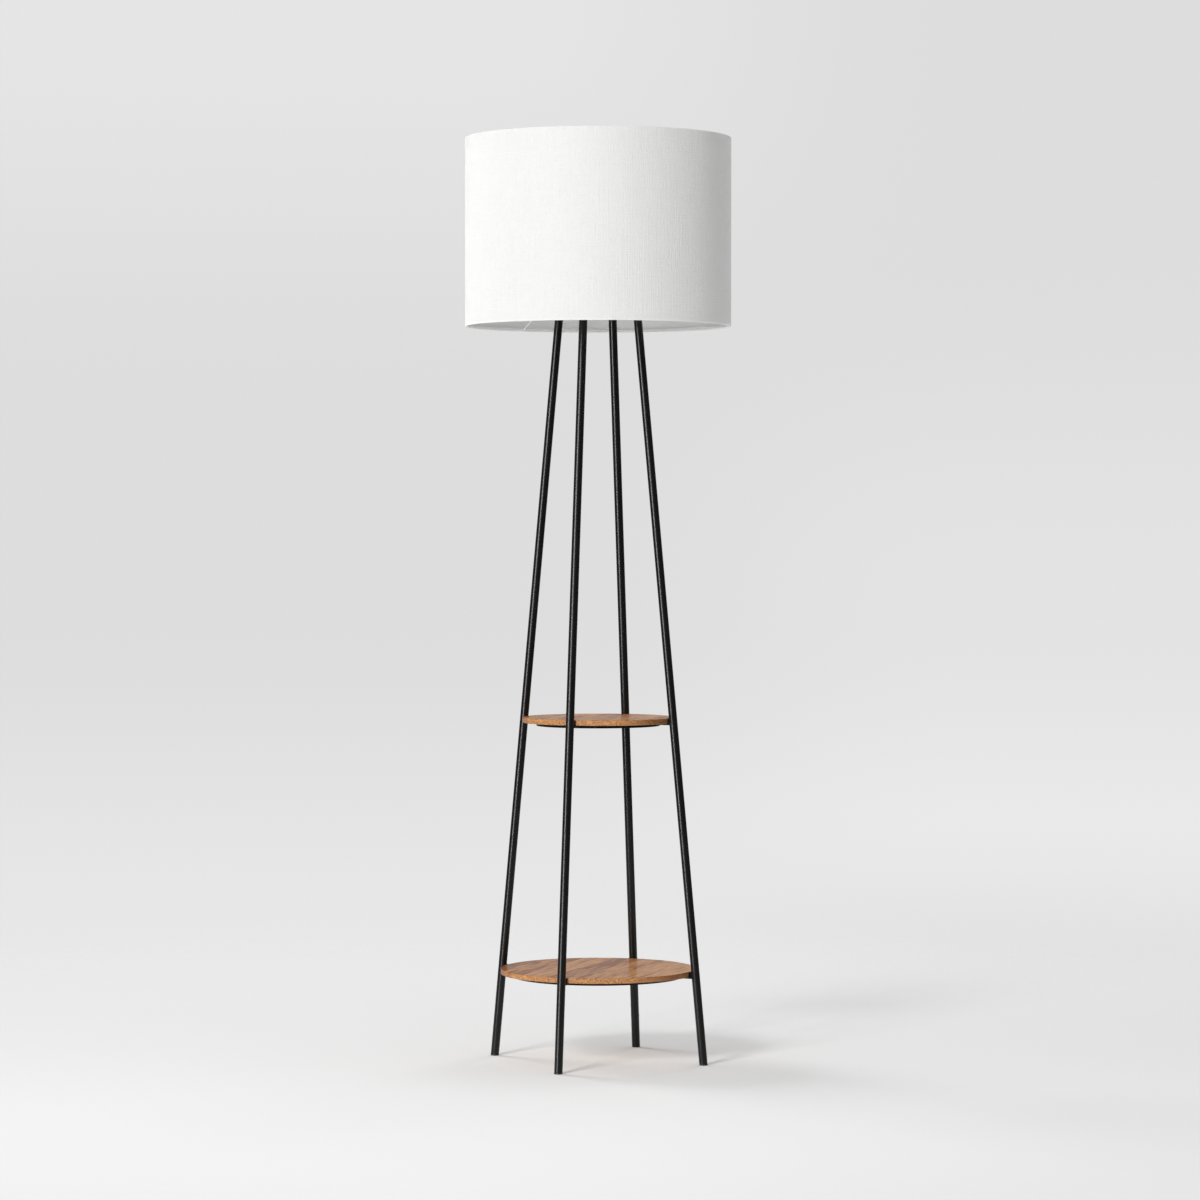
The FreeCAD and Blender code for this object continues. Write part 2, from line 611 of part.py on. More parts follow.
# ---- bulb ----------------------------------------------------------------
def globe_section():
    """Half the bulb's outline: a dome, the hollow curve of the neck, and a short straight neck."""
    middle = BULB_TOP - BULB_RADIUS
    centre = NECK_RADIUS + NECK_CURVE
    reach = math.sqrt((BULB_RADIUS + NECK_CURVE) ** 2 - centre ** 2)
    share = BULB_RADIUS / (BULB_RADIUS + NECK_CURVE)
    join = Vector(centre * share, 0, middle - reach * share)
    waist = Vector(NECK_RADIUS, 0, middle - reach)
    turn = math.atan2(reach, centre) / 2
    halfway = waist + Vector(NECK_CURVE * (1 - math.cos(turn)), 0, NECK_CURVE * math.sin(turn))
    edges = [Part.Arc(Vector(0, 0, BULB_TOP), Vector(BULB_RADIUS, 0, middle), join).toShape(),
             Part.Arc(join, halfway, waist).toShape()]
    chain = [waist, Vector(NECK_RADIUS, 0, BASE_TOP), Vector(0, 0, BASE_TOP), Vector(0, 0, BULB_TOP)]
    edges += [Part.LineSegment(a, b).toShape() for a, b in zip(chain, chain[1:])]
    return Part.Face(Part.Wire(edges))


export("bulb_globe", turned(globe_section()))
export("bulb_screw_base", turned(section([(0, BASE_BOTTOM), (11.5, BASE_BOTTOM), (BASE_RADIUS, BASE_BOTTOM + 2),
                                          (BASE_RADIUS, BASE_TOP), (0, BASE_TOP)])))
export("bulb_insulator", turned(section([(0, TIP_TOP), (5.5, TIP_TOP), (11.0, BASE_BOTTOM), (0, BASE_BOTTOM)])))
export("bulb_tip_contact", turned(section([(0, TIP_BOTTOM), (3.0, TIP_BOTTOM), (4.5, TIP_TOP), (0, TIP_TOP)])))
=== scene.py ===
"""The looks of a shelf floor lamp: four leaning tube legs, two round wooden shelves and a drum shade.

The frame is the CAD's: +Z up, the lamp's axis at the origin, the legs on the diagonals of X and Y.
Sizes below are in millimetres, and a mesh is made in metres.
"""

import math

import bpy
import numpy as np
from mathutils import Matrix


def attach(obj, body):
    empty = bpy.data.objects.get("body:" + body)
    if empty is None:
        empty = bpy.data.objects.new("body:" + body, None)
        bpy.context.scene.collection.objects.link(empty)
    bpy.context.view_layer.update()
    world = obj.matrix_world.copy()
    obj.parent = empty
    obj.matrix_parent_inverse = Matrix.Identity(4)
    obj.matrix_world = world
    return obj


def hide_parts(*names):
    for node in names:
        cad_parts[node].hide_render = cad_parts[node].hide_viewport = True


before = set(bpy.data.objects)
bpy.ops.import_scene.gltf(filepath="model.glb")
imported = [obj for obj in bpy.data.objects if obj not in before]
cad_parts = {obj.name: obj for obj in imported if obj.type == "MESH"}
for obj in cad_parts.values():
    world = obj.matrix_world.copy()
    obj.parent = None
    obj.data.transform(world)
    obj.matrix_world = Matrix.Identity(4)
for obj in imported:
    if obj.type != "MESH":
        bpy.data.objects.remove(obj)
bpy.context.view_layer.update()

# ==== the tube legs ===========================================================
# Four straight lengths of drawn steel tube, 13.5 mm across with a 1.2 mm wall, in a satin black
# powder coat. Each leans in by 5.4 degrees; the back right one has two holes for the lamp's cord.

MM = 0.001
AXIS = (np.zeros(3), *np.eye(3))
LEG_RADIUS, LEG_BORE, LEG_COLUMNS = 6.75, 5.55, 48
FOOT_CIRCLE, LEG_TAPER = 181.4, 0.09377
LEAN = math.atan(LEG_TAPER)
LEG_AZIMUTHS = {"front_left": 225, "front_right": 315, "back_right": 45, "back_left": 135}
CORD_LEG = "back_right"
GLIDE_TOP, SEAT_HEIGHT = 2.5, 1253.77
CORD_EXIT, CORD_ENTRY, CORD_HOLE = 52.0, SEAT_HEIGHT - 26.0, 3.9


def direction(azimuth):
    """Outward, sideways and up unit vectors at an azimuth in degrees."""
    angle = math.radians(azimuth)
    out = np.array([math.cos(angle), math.sin(angle), 0.0])
    return out, np.array([-out[1], out[0], 0.0]), np.array([0.0, 0.0, 1.0])


def leg_frame(azimuth, height=0.0):
    """A leg's axis point at a height, and its outward, sideways and lengthwise unit vectors."""
    out, side, up = direction(azimuth)
    point = out * (FOOT_CIRCLE - LEG_TAPER * height) + up * height
    return point, out * math.cos(LEAN) + up * math.sin(LEAN), side, up * math.cos(LEAN) - out * math.sin(LEAN)


def placed(x, y, z, at=AXIS):
    """Points x * out + y * side + z * along, from the origin and three axes in at."""
    origin, out, side, along = at
    x, y, z = np.broadcast_arrays(x, y, z)
    return origin + x[..., None] * out + y[..., None] * side + z[..., None] * along


def full_turn(columns):
    """The angles of that many points round a circle."""
    return np.arange(columns) * 2 * math.pi / columns


def polar(radius, angle, z, at=AXIS):
    """Points with x = r cos a and y = r sin a."""
    return placed(radius * np.cos(angle), radius * np.sin(angle), z, at)


def grid(rows, columns, close_rows=False, close_columns=False):
    """The four-cornered faces of a grid of points, which face along (next column) x (next row)."""
    row = np.arange(rows if close_rows else rows - 1)[:, None]
    column = np.arange(columns if close_columns else columns - 1)[None, :]
    below, above = row * columns, (row + 1) % rows * columns
    after = (column + 1) % columns
    corners = np.broadcast_arrays(below + column, below + after, above + after, above + column)
    return np.stack(corners, -1).reshape(-1, 4)


def pierced_tube(azimuth, holes, columns=LEG_COLUMNS, reach=8, rim=5, half=7.0):
    """The wall of a leg: angle a round the tube, distance s along it, once at each of two radii.

    Round a hole the grid's nodes leave their rows, half millimetres up and down: ring number rim is the
    hole's circle, drawn on the tube as a = asin(r cos p / R), s = r sin p, and the rings outside it, up
    to ring number reach, fade back to the grid.
    """
    length = SEAT_HEIGHT / math.cos(LEAN)
    steps = np.arange(-reach, reach + 1)
    marks = [np.array([0.0])]
    for height, _ in holes:
        marks.append(height / math.cos(LEAN) + steps * half / reach)
    marks.append(np.array([length]))
    along = np.concatenate(marks)
    keep = np.ones((len(along) - 1, columns), bool)
    walls, loops = [], []
    for radius in (LEG_RADIUS, LEG_BORE):
        a, s = np.meshgrid(full_turn(columns), along)
        s[0] = (GLIDE_TOP - radius * np.cos(a[0]) * math.sin(LEAN)) / math.cos(LEAN)
        for number, (height, start) in enumerate(holes):
            down, across = np.meshgrid(steps, steps, indexing="ij")
            ring = np.maximum(abs(down), abs(across))
            rows = 1 + number * len(steps) + down + reach
            places = (start + across) % columns
            turn = np.arctan2(down, across)
            circle_a = np.arcsin(CORD_HOLE * np.cos(turn) / radius)
            circle_s = CORD_HOLE * np.sin(turn)
            fade = np.clip((ring - rim) / (reach - rim), 0, 1)
            centre_a, centre_s = start * 2 * math.pi / columns, height / math.cos(LEAN)
            a[rows, places] = centre_a + (1 - fade) * circle_a + fade * across * 2 * math.pi / columns
            s[rows, places] = centre_s + (1 - fade) * circle_s + fade * down * half / reach
            inside = ring <= rim
            hole = inside[:-1, :-1] & inside[1:, 1:] & inside[:-1, 1:] & inside[1:, :-1]
            keep[rows[:-1, :-1][hole], places[:-1, :-1][hole]] = False
            edge = np.argwhere(ring == rim)
            edge = edge[np.argsort(np.arctan2(edge[:, 0] - reach, edge[:, 1] - reach))]
            loops.append(rows[edge[:, 0], edge[:, 1]] * columns + places[edge[:, 0], edge[:, 1]])
        walls.append(polar(radius, a, s, leg_frame(azimuth)))
    count = len(along) * columns
    faces = grid(len(along), columns, close_columns=True)[keep.ravel()]
    ends = [np.arange(columns), count - columns + np.arange(columns)]
    joins = [(ends[0] + count, ends[0]), (ends[1], ends[1] + count)]
    joins += [(loop, loop + count) for loop in loops[:len(holes)]]
    sides = [np.stack([a, np.roll(a, -1), np.roll(b, -1), b], -1) for a, b in joins]
    return np.concatenate([wall.reshape(-1, 3) for wall in walls]), \
        np.concatenate([faces, faces[:, ::-1] + count] + sides)


class Flow:
    """A number or colour on its way through a finish: + - * / add the Math nodes that work it out."""

    def __init__(self, finish, socket):
        self.finish, self.socket = finish, socket

    def __add__(self, other):
        return self.finish.maths("ADD", self, other)

    def __sub__(self, other):
        return self.finish.maths("SUBTRACT", self, other)

    def __rsub__(self, other):
        return self.finish.maths("SUBTRACT", other, self)

    def __mul__(self, other):
        return self.finish.maths("MULTIPLY", self, other)

    def __truediv__(self, other):
        return self.finish.maths("DIVIDE", self, other)

    __radd__, __rmul__ = __add__, __mul__


class Finish:
    """A procedural finish: node() adds any node, and surface() the shader that all of them feed."""

    def __init__(self, owner):
        """owner is a name for a new material, or something else that has nodes, such as the world."""
        self.owner = bpy.data.materials.new(owner) if isinstance(owner, str) else owner
        self.owner.use_nodes = True
        self.tree = self.owner.node_tree
        self.tree.nodes.clear()

    def node(self, kind, settings=None, inputs=None, output=0):
        made = self.tree.nodes.new(kind)
        for key, value in (settings or {}).items():
            if key == "stops":
                for number, (place, colour) in enumerate(value):
                    ramp = made.color_ramp.elements
                    stop = ramp[number] if number < 2 else ramp.new(place)
                    stop.position, stop.color = place, (*colour, 1.0)
            else:
                setattr(made, key, value)
        for key, value in (inputs or {}).items():
            if isinstance(value, Flow):
                self.tree.links.new(value.socket, made.inputs[key])
            else:
                made.inputs[key].default_value = value
        return Flow(self, made.outputs[output]) if len(made.outputs) else made

    def maths(self, operation, first, second=0.0):
        return self.node("ShaderNodeMath", {"operation": operation}, {0: first, 1: second})

    def vector(self, operation, first, second=(0.0, 0.0, 0.0), output=0):
        return self.node("ShaderNodeVectorMath", {"operation": operation}, {0: first, 1: second}, output)

    def part(self, vector, axis):
        return self.node("ShaderNodeSeparateXYZ", None, {0: vector}, axis)

    def place(self, turn=0.0, stretch=(1.0, 1.0, 1.0), uv=False):
        """Where a point is on the piece, in millimetres, turned round Z in degrees and then stretched."""
        source = self.node("ShaderNodeTexCoord", output="UV" if uv else "Object")
        turned_place = self.node("ShaderNodeMapping", None,
                                 {"Vector": source, "Rotation": (0, 0, math.radians(turn)),
                                  "Scale": (1 / MM, 1 / MM, 1 / MM)})
        return self.vector("MULTIPLY", turned_place, stretch)

    def noise(self, place, size, detail=2.0, rough=0.5):
        """Soft noise from 0 to 1 whose patches are size millimetres wide."""
        return self.node("ShaderNodeTexNoise", None,
                         {"Vector": place, "Scale": 1 / size, "Detail": detail, "Roughness": rough})

    def ramp(self, value, low, high):
        """0 below low and 1 above high, smooth between them."""
        return self.node("ShaderNodeMapRange", {"interpolation_type": "SMOOTHSTEP"},
                         {"Value": value, "From Min": low, "From Max": high})

    def mix(self, share, first, second):
        """The colour share of the way from first to second."""
        ends = {socket: colour if isinstance(colour, Flow) else (*colour, 1.0)
                for socket, colour in ((6, first), (7, second))}
        return self.node("ShaderNodeMix", {"data_type": "RGBA"}, {0: share, **ends}, output=2)

    def surface(self, height=None, relief=0.1, **sockets):
        """The outer shader; height is a bump of relief millimetres."""
        inputs = {key.replace("_", " ").title().replace("Ior", "IOR"): value
                  for key, value in sockets.items()}
        if height is not None:
            inputs["Normal"] = self.node("ShaderNodeBump", None, {"Height": height, "Distance": relief * MM})
        shader = self.node("ShaderNodeBsdfPrincipled", None, inputs)
        self.node("ShaderNodeOutputMaterial", None, {"Surface": shader})
        return self.owner


def powder_coat(name, gloss, rough):
    """Black powder: a fine orange peel, and a little dust grey in patches."""
    finish = Finish(name)
    spot = finish.place()
    peel = finish.noise(spot, 1.1, 3.0)
    cloud = finish.noise(spot, 45.0, 2.0)
    colour = finish.mix(cloud, (0.0040, 0.0040, 0.0042), (0.0064, 0.0062, 0.0061))
    return finish.surface(height=peel, relief=0.018, base_color=colour, specular_ior_level=gloss,
                          roughness=rough + 0.08 * cloud + 0.05 * peel)


def in_scene(name, data):
    """A new object with this data, linked to the scene."""
    made = bpy.data.objects.new(name, data)
    bpy.context.scene.collection.objects.link(made)
    return made


def piece(name, shells, material, body, nodes, crease=38):
    """A mesh from shells of (points in millimetres, faces); points that coincide are merged."""
    points, faces, count = [], [], 0
    for shell_points, shell_faces in shells:
        flat = np.asarray(shell_points, float).reshape(-1, 3)
        points.append(flat)
        for group in shell_faces if isinstance(shell_faces, list) else [shell_faces]:
            faces += (np.atleast_2d(group) + count).tolist()
        count += len(flat)
    mesh = bpy.data.meshes.new(name)
    mesh.from_pydata((np.concatenate(points) * MM).tolist(), [], faces)
    made = in_scene(name, mesh)
    weld = made.modifiers.new("weld", "WELD")
    weld.merge_threshold = 0.002 * MM
    bpy.context.view_layer.update()
    made.data = bpy.data.meshes.new_from_object(made.evaluated_get(bpy.context.evaluated_depsgraph_get()))
    made.data.name = name
    made.modifiers.clear()
    made.data.shade_smooth()
    made.data.set_sharp_from_angle(angle=math.radians(crease))
    made.data.materials.clear()
    made.data.materials.append(material)
    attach(made, body)
    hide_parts(*nodes)
    return made


SATIN_COAT = powder_coat("satin_black_powder_coat", 0.3, 0.23)
for name, azimuth in LEG_AZIMUTHS.items():
    holes = [(CORD_EXIT, 0), (CORD_ENTRY, LEG_COLUMNS // 2)] if name == CORD_LEG else []
    piece("tube_leg_" + name, [pierced_tube(azimuth, holes)], SATIN_COAT,
          "stand", ["leg_" + name])

# ==== the foot glides =========================================================
# A moulded plastic pad under each leg, plugged into the tube and cut level with the floor. It is
# duller than the steel, and a fine groove parts the two.


def rounded(corners, steps=4):
    """A section whose corners (x, y, radius) become arcs between their two tangent points."""
    spots = np.array([corner[:2] for corner in corners], float)
    line = []
    for here, (x, y, radius) in enumerate(corners):
        if radius == 0:
            line.append(np.array([[x, y]]))
            continue
        before, after = spots[here - 1] - spots[here], spots[(here + 1) % len(spots)] - spots[here]
        before, after = before / np.linalg.norm(before), after / np.linalg.norm(after)
        half = math.acos(np.clip(before @ after, -1, 1)) / 2
        centre = spots[here] + (before + after) / np.linalg.norm(before + after) * radius / math.sin(half)
        start = spots[here] + before * radius / math.tan(half) - centre
        end = spots[here] + after * radius / math.tan(half) - centre
        share, sweep = np.linspace(0, 1, steps + 1)[:, None], math.pi - 2 * half
        arc = np.sin((1 - share) * sweep) * start + np.sin(share * sweep) * end
        line.append(centre + arc / math.sin(sweep))
    return np.concatenate(line)


def turned(section, at=AXIS, columns=64, closed=True, radii=None):
    """A section of (radius, height) carried round an axis: x = r cos a, y = r sin a, z = height.

    closed joins the last row to the first. radii(angle, section) may give another radius, for a shape
    that isn't round.
    """
    angle = full_turn(columns)
    radius = radii(angle, section) if radii else section[:, :1]
    return polar(radius, angle, section[:, 1:] + 0 * angle, at), grid(len(section), columns, closed, True)


def black_plastic():
    """Moulded black plastic with a fine eroded grain, scuffed a little lighter in patches."""
    finish = Finish("matte_black_plastic")
    spot = finish.place()
    grain, scuff = finish.noise(spot, 0.45, 4.0), finish.noise(spot, 9.0, 4.0)
    colour = finish.mix(finish.ramp(scuff, 0.5, 0.8), (0.013, 0.013, 0.013), (0.030, 0.029, 0.028))
    return finish.surface(height=grain, relief=0.08, base_color=colour, roughness=0.52 + 0.2 * scuff)


def glide(azimuth):
    """A pad whose outline is the leaning tube cut level: x = r cos a / cos(lean), moved in as it rises."""
    top = GLIDE_TOP - 0.02
    pad = rounded([(0, 0, 0), (LEG_RADIUS, 0, 0.5), (LEG_RADIUS, top, 0.25), (0, top, 0)])
    angle = full_turn(LEG_COLUMNS)
    out, side, up = direction(azimuth)
    height = pad[:, 1:] + 0 * angle
    x = FOOT_CIRCLE - LEG_TAPER * height + pad[:, :1] * np.cos(angle) / math.cos(LEAN)
    return placed(x, pad[:, :1] * np.sin(angle), height, (np.zeros(3), out, side, up)), \
        grid(len(pad), LEG_COLUMNS, close_columns=True)


PLASTIC = black_plastic()
for name, azimuth in LEG_AZIMUTHS.items():
    piece("glide_" + name, [glide(azimuth)], PLASTIC, "stand", ["foot_glide_" + name])

# ==== the cord bushes =========================================================
# Two black plastic bushes pressed into the back right leg, where the lamp's cord goes in and out.
# Each has a lip that sits on the tube's curve and a bore that widens inwards.


def bush(azimuth, height, sign):
    """A turned bush whose lip ends on the tube: there its height is sqrt(R^2 - (r cos a)^2)."""
    centre, out, side, along = leg_frame(azimuth, height)
    neck, lip, bore, end = 3.85, 4.8, 3.0, 7.95
    section = rounded([(3.4, 4.0, 0), (neck, 4.0, 0), (neck, 6.0, 0), (lip, 6.2, 0), (lip, end, 0.5),
                       (bore, end, 0.5), (bore, 6.9, 0.3)])
    angle = full_turn(LEG_COLUMNS)
    high = section[:, 1:] + 0 * angle
    seat = np.sqrt(LEG_RADIUS ** 2 - (section[:, :1] * np.cos(angle)) ** 2)
    high[2:4] = seat[2:4]
    at = (centre, side, along * sign, out * sign)
    return polar(section[:, :1], angle, high, at), grid(len(section), LEG_COLUMNS, True, True)


for name, height, sign in (("cord_exit_bush", CORD_EXIT, 1), ("cord_entry_bush", CORD_ENTRY, -1)):
    piece("pressed_" + name, [bush(LEG_AZIMUTHS[CORD_LEG], height, sign)], PLASTIC,
          "stand", [name])

# ==== the wooden shelves ======================================================
# Two round boards 8.7 mm thick, glued up from staves of reddish acacia and lacquered. The edges are
# eased, and four notches take the steel lugs. The grain runs from the front left leg to the back right.

BOARD_THICKNESS, BOARD_EASE = 8.7, 0.8
LUG_WIDTH, LUG_DEPTH, NOTCH_GAP = 13.6, 2.8, 0.3
SHELVES = {"upper": {"top": 559.5, "radius": 122.5, "ring": 100.4},
           "lower": {"top": 150.6, "radius": 158.6, "ring": 137.7}}
GRAIN_AZIMUTH = 45.0
STAVE = 46.0


def loft(rings):
    """Closed rings joined in a row, with a flat face on each end.

    Seen from the last ring, each runs counterclockwise.
    """
    rows, columns = rings.shape[:2]
    ends = np.arange(columns)
    return rings, [grid(rows, columns, close_columns=True), ends[::-1], ends + (rows - 1) * columns]


def lug_face(shelf):
    """How far the lugs' flat inner faces are from the lamp's axis."""
    height = shelf["top"] - BOARD_THICKNESS / 2
    return FOOT_CIRCLE - LEG_TAPER * height - LEG_RADIUS / math.cos(LEAN) - LUG_DEPTH


def board_outline(shelf, inset):
    """A circle with four notches, moved in: a notch and the arc after it, turned by 0 to 3 right angles."""
    radius, floor = shelf["radius"] - inset, lug_face(shelf) - NOTCH_GAP - inset
    half, corner = LUG_WIDTH / 2 + NOTCH_GAP, 0.25
    mouth, start = math.sqrt(radius ** 2 - half ** 2), math.asin(half / radius) + 0.008
    x, y = radius * math.cos(start), radius * math.sin(start)
    notch = rounded([(x, -y, 0), (mouth, -half, corner), (floor, -half, corner), (floor, half, corner),
                     (mouth, half, corner), (x, y, 0)])
    angle = np.linspace(start, math.pi / 2 - start, 72)[1:-1]
    quarter = np.concatenate([notch, radius * np.stack([np.cos(angle), np.sin(angle)], -1)])
    turns = np.radians(45 + 90 * np.arange(4))
    matrix = np.array([[np.cos(turns), -np.sin(turns)], [np.sin(turns), np.cos(turns)]])
    return np.einsum("ijk,nj->kni", matrix, quarter).reshape(-1, 2)


def board(shelf):
    """The outline moved in by (1 - sin t) and then by (1 - cos t) of the easing, between two flat faces."""
    top, bottom, turn = shelf["top"], shelf["top"] - BOARD_THICKNESS, np.linspace(0, math.pi / 2, 5)
    face = [1.35]
    inset = BOARD_EASE * np.concatenate([face, 1 - np.sin(turn), 1 - np.cos(turn), face])
    height = np.concatenate([[bottom], bottom + BOARD_EASE * (1 - np.cos(turn)),
                             top - BOARD_EASE * (1 - np.sin(turn)), [top]])
    walls = np.stack([board_outline(shelf, each) for each in inset])
    return loft(np.concatenate([walls, height[:, None, None] + 0 * walls[..., :1]], -1))


def acacia():
    """Staves of their own tone, long wavy rings along the grain, dark pores, and pale
    speckled end grain where the edge cuts across the fibres. The edges where side grain shows are
    painted darker, a painted shade that falls on the board's right front and left back edges.

    x runs along the grain and y across it. The lacquer is a satin clear coat that fills the pores, and
    the underside is left unstained, so it is paler.
    """
    finish = Finish("lacquered_acacia")
    along = finish.place(turn=-GRAIN_AZIMUTH)
    wander = finish.noise(finish.place(-GRAIN_AZIMUTH, (0.012, 0.05, 0.05)), 1.0, 2.0)
    stave = finish.maths("FLOOR", finish.part(along, "Y") / STAVE + 0.37)
    tone = finish.node("ShaderNodeTexWhiteNoise", {"noise_dimensions": "1D"}, {"W": stave})
    shift = finish.node("ShaderNodeCombineXYZ", None, {"X": tone * 900.0, "Z": tone * 400.0})
    fibre = finish.vector("ADD", along, shift)

    def streaks(length, width, detail):
        """Noise drawn out along the grain, in patches of length by width."""
        drawn = finish.vector("MULTIPLY", fibre, (1 / length, 1 / width, 1 / width))
        return finish.noise(drawn, 1.0, detail, 0.6)

    figure = streaks(260.0, 24.0, 2.0)
    bands = finish.maths("PINGPONG", figure * 11.0 + wander * 4.0, 1.0)
    broad, fine = streaks(330.0, 34.0, 2.0), streaks(60.0, 2.2, 4.0)
    pores = finish.ramp(streaks(9.0, 0.55, 2.0), 0.60, 0.74)
    depth = finish.ramp(tone * 0.25 + broad + bands * 0.22 + fine * 0.30, 0.72, 1.04)
    warm = finish.mix(depth, (0.530, 0.255, 0.098), (0.240, 0.074, 0.020))
    veined = finish.mix(finish.ramp(fine, 0.46, 0.70) * 0.80, warm, (0.140, 0.042, 0.013))
    grain = finish.mix(pores * 0.50, veined, (0.060, 0.024, 0.014))
    normal = finish.node("ShaderNodeNewGeometry", output="Normal")
    speckle = finish.noise(finish.place(-GRAIN_AZIMUTH, (0.35, 1.0, 1.0)), 0.7, 4.0, 0.7)
    growth = finish.maths("PINGPONG", figure * 26.0 + wander * 4.0, 1.0)
    end = finish.mix(finish.ramp(speckle * 0.7 + growth * 0.3, 0.32, 0.68),
                     (0.370, 0.150, 0.054), (0.680, 0.345, 0.148))
    facing = finish.vector("DOT_PRODUCT", normal, tuple(direction(GRAIN_AZIMUTH)[0]), output=1)
    upright = finish.part(normal, "Z")
    is_edge = 1.0 - finish.ramp(upright * upright, 0.25, 0.75)
    face = finish.mix(finish.ramp(0.0 - upright, 0.4, 0.9) * 0.75, grain, (0.560, 0.430, 0.320))
    # Painted shade: edges that show side grain are darkened toward a dark brown.
    side = finish.mix(0.6, grain, (0.130, 0.044, 0.016))
    rim = finish.mix(finish.ramp(facing * facing, 0.02, 0.70), side, end)
    colour = finish.mix(is_edge, face, rim)
    return finish.surface(height=pores * -0.5 + fine * 0.3 + speckle * is_edge * 0.4, relief=0.05,
                          base_color=colour, roughness=0.50 + 0.12 * fine, specular_ior_level=0.05,
                          coat_weight=0.26, coat_roughness=0.20)


WOOD = acacia()
for name, shelf in SHELVES.items():
    piece(name + "_board", [board(shelf)], WOOD, "stand", [name + "_shelf_board"], crease=50)

# ==== the shelf rings and brackets ============================================
# A flat steel bar on edge, rolled and welded into a ring, stiffens each board from below. Four bent
# plates are welded to it: a tab under the board, and a lug that is coped to fit round the leg. The
# same black powder lies duller on them than on the drawn tubes.

RING_WIDTH, RING_HEIGHT = 3.0, 5.2
TAB_WIDTH, TAB_THICKNESS = 10.0, 2.5
WOOD_SCREW_HEAD, WOOD_SCREW_SHANK, WOOD_SCREW_CONE = 3.35, 1.75, 1.6


def shelf_ring(shelf):
    """A bar's section, with its corners eased, turned round the lamp's axis."""
    top, outer = shelf["top"] - BOARD_THICKNESS, shelf["ring"]
    inner, low = outer - RING_WIDTH, top - RING_HEIGHT
    bar = rounded([(inner, low, 0.6), (outer, low, 0.6), (outer, top, 0.4), (inner, top, 0.4)])
    return turned(bar, columns=180)


def tab(shelf, azimuth):
    """Rings from the countersink's floor out to the plate's edge and up it, all round the screw's axis.

    The edge is |x / a|^n + |y / b|^n = 1, so r = (|cos t / a|^n + |sin t / b|^n)^(-1 / n), n being 24.
    """
    low, high, power, ease = shelf["ring"] - 0.4, lug_face(shelf) + 0.6, 24, 0.3
    angle = full_turn(96)
    reach, width = abs(np.cos(angle) / (high - low) * 2), abs(np.sin(angle) / TAB_WIDTH * 2)
    edge = (reach ** power + width ** power) ** (-1 / power)
    radius = np.stack([0 * angle + WOOD_SCREW_SHANK, 0 * angle + WOOD_SCREW_HEAD, edge - ease, edge, edge])
    height = np.array([WOOD_SCREW_CONE, 0.0, 0.0, ease, TAB_THICKNESS - 0.02])[:, None]
    out, aside, up = direction(azimuth)
    seat = out * (low + high) / 2 + up * (shelf["top"] - BOARD_THICKNESS - TAB_THICKNESS)
    return loft(polar(radius, angle, height, (seat, out, aside, up)))


def lug(shelf, azimuth):
    """A block whose outer face is the leg's own cylinder: x = axis(z) - sqrt(R^2 - y^2) / cos(lean)."""
    bottom, top = shelf["top"] - BOARD_THICKNESS - TAB_THICKNESS, shelf["top"] - NOTCH_GAP
    side, inner, corner, ease = LUG_WIDTH / 2 - 0.15, lug_face(shelf), 0.8, 0.35
    cope, away = np.linspace(-side, side, 17), inner + 3
    front = rounded([(away, side, 0), (inner, side, corner), (inner, -side, corner), (away, -side, 0)])
    height = np.array([bottom, bottom + ease, top - ease, top])
    inset = np.array([ease, 0.0, 0.0, ease])
    axis = FOOT_CIRCLE - LEG_TAPER * height[:, None]
    coped = axis - np.sqrt(LEG_RADIUS ** 2 - cope ** 2) / math.cos(LEAN) - 0.01
    x = np.concatenate([front[1:-1, 0] + inset[:, None], coped], 1)
    y = np.concatenate([front[1:-1, 1], cope]) + 0 * x
    out, aside, up = direction(azimuth)
    return loft(placed(x, y, height[:, None], (np.zeros(3), out, aside, up)))


DULL_COAT = powder_coat("dull_black_powder_coat", 0.10, 0.42)
for name, shelf in SHELVES.items():
    plates = [make(shelf, azimuth) for azimuth in LEG_AZIMUTHS.values() for make in (tab, lug)]
    for part, shells in (("_ring", [shelf_ring(shelf)]), ("_brackets", plates)):
        piece(name + part, shells, DULL_COAT, "stand", [name + "_shelf" + part])

# ==== the shelf screws ========================================================
# Countersunk wood screws, cross-recessed and black zinc plated, hold the boards to the tabs from
# below. The screws through the lugs are covered by the boards.


def cross(half, arm):
    """The outline of a cross recess as a radius by angle: the union of two bars, half wide and arm long."""

    def radius(angle):
        c, s = np.maximum(abs(np.cos(angle)), 1e-6), np.maximum(abs(np.sin(angle)), 1e-6)
        return np.maximum(np.minimum(arm / c, half / s), np.minimum(half / c, arm / s))

    return radius


def screw_head(dome, recess, depth, at):
    """A turned head along at's last axis, closed below: the dome, then the recess's edge, wall and floor."""
    columns, height = 64, dome[-1, 1]
    angle = full_turn(columns)
    ring = recess(angle)
    rows = [dome[:, :1] + 0 * angle, ring[None], ring[None], 0.55 * ring[None], 0 * angle[None]]
    levels = np.concatenate([dome[:, 1], [height, height - 0.12, height - depth, height - depth]])[:, None]
    r = np.concatenate([np.zeros((1, columns))] + rows)
    z = np.concatenate([[[dome[0, 1]]], levels]) + 0 * r
    return polar(r, angle, z, at), grid(len(r), columns, close_columns=True)


def black_zinc():
    """Black zinc plate: a dark grey metal with a smoky, slightly blue cast."""
    finish = Finish("black_zinc_plate")
    smoke = finish.noise(finish.place(), 2.2, 3.0)
    return finish.surface(base_color=finish.mix(smoke, (0.030, 0.030, 0.034), (0.075, 0.072, 0.070)),
                          metallic=0.85, roughness=0.30 + 0.2 * smoke)


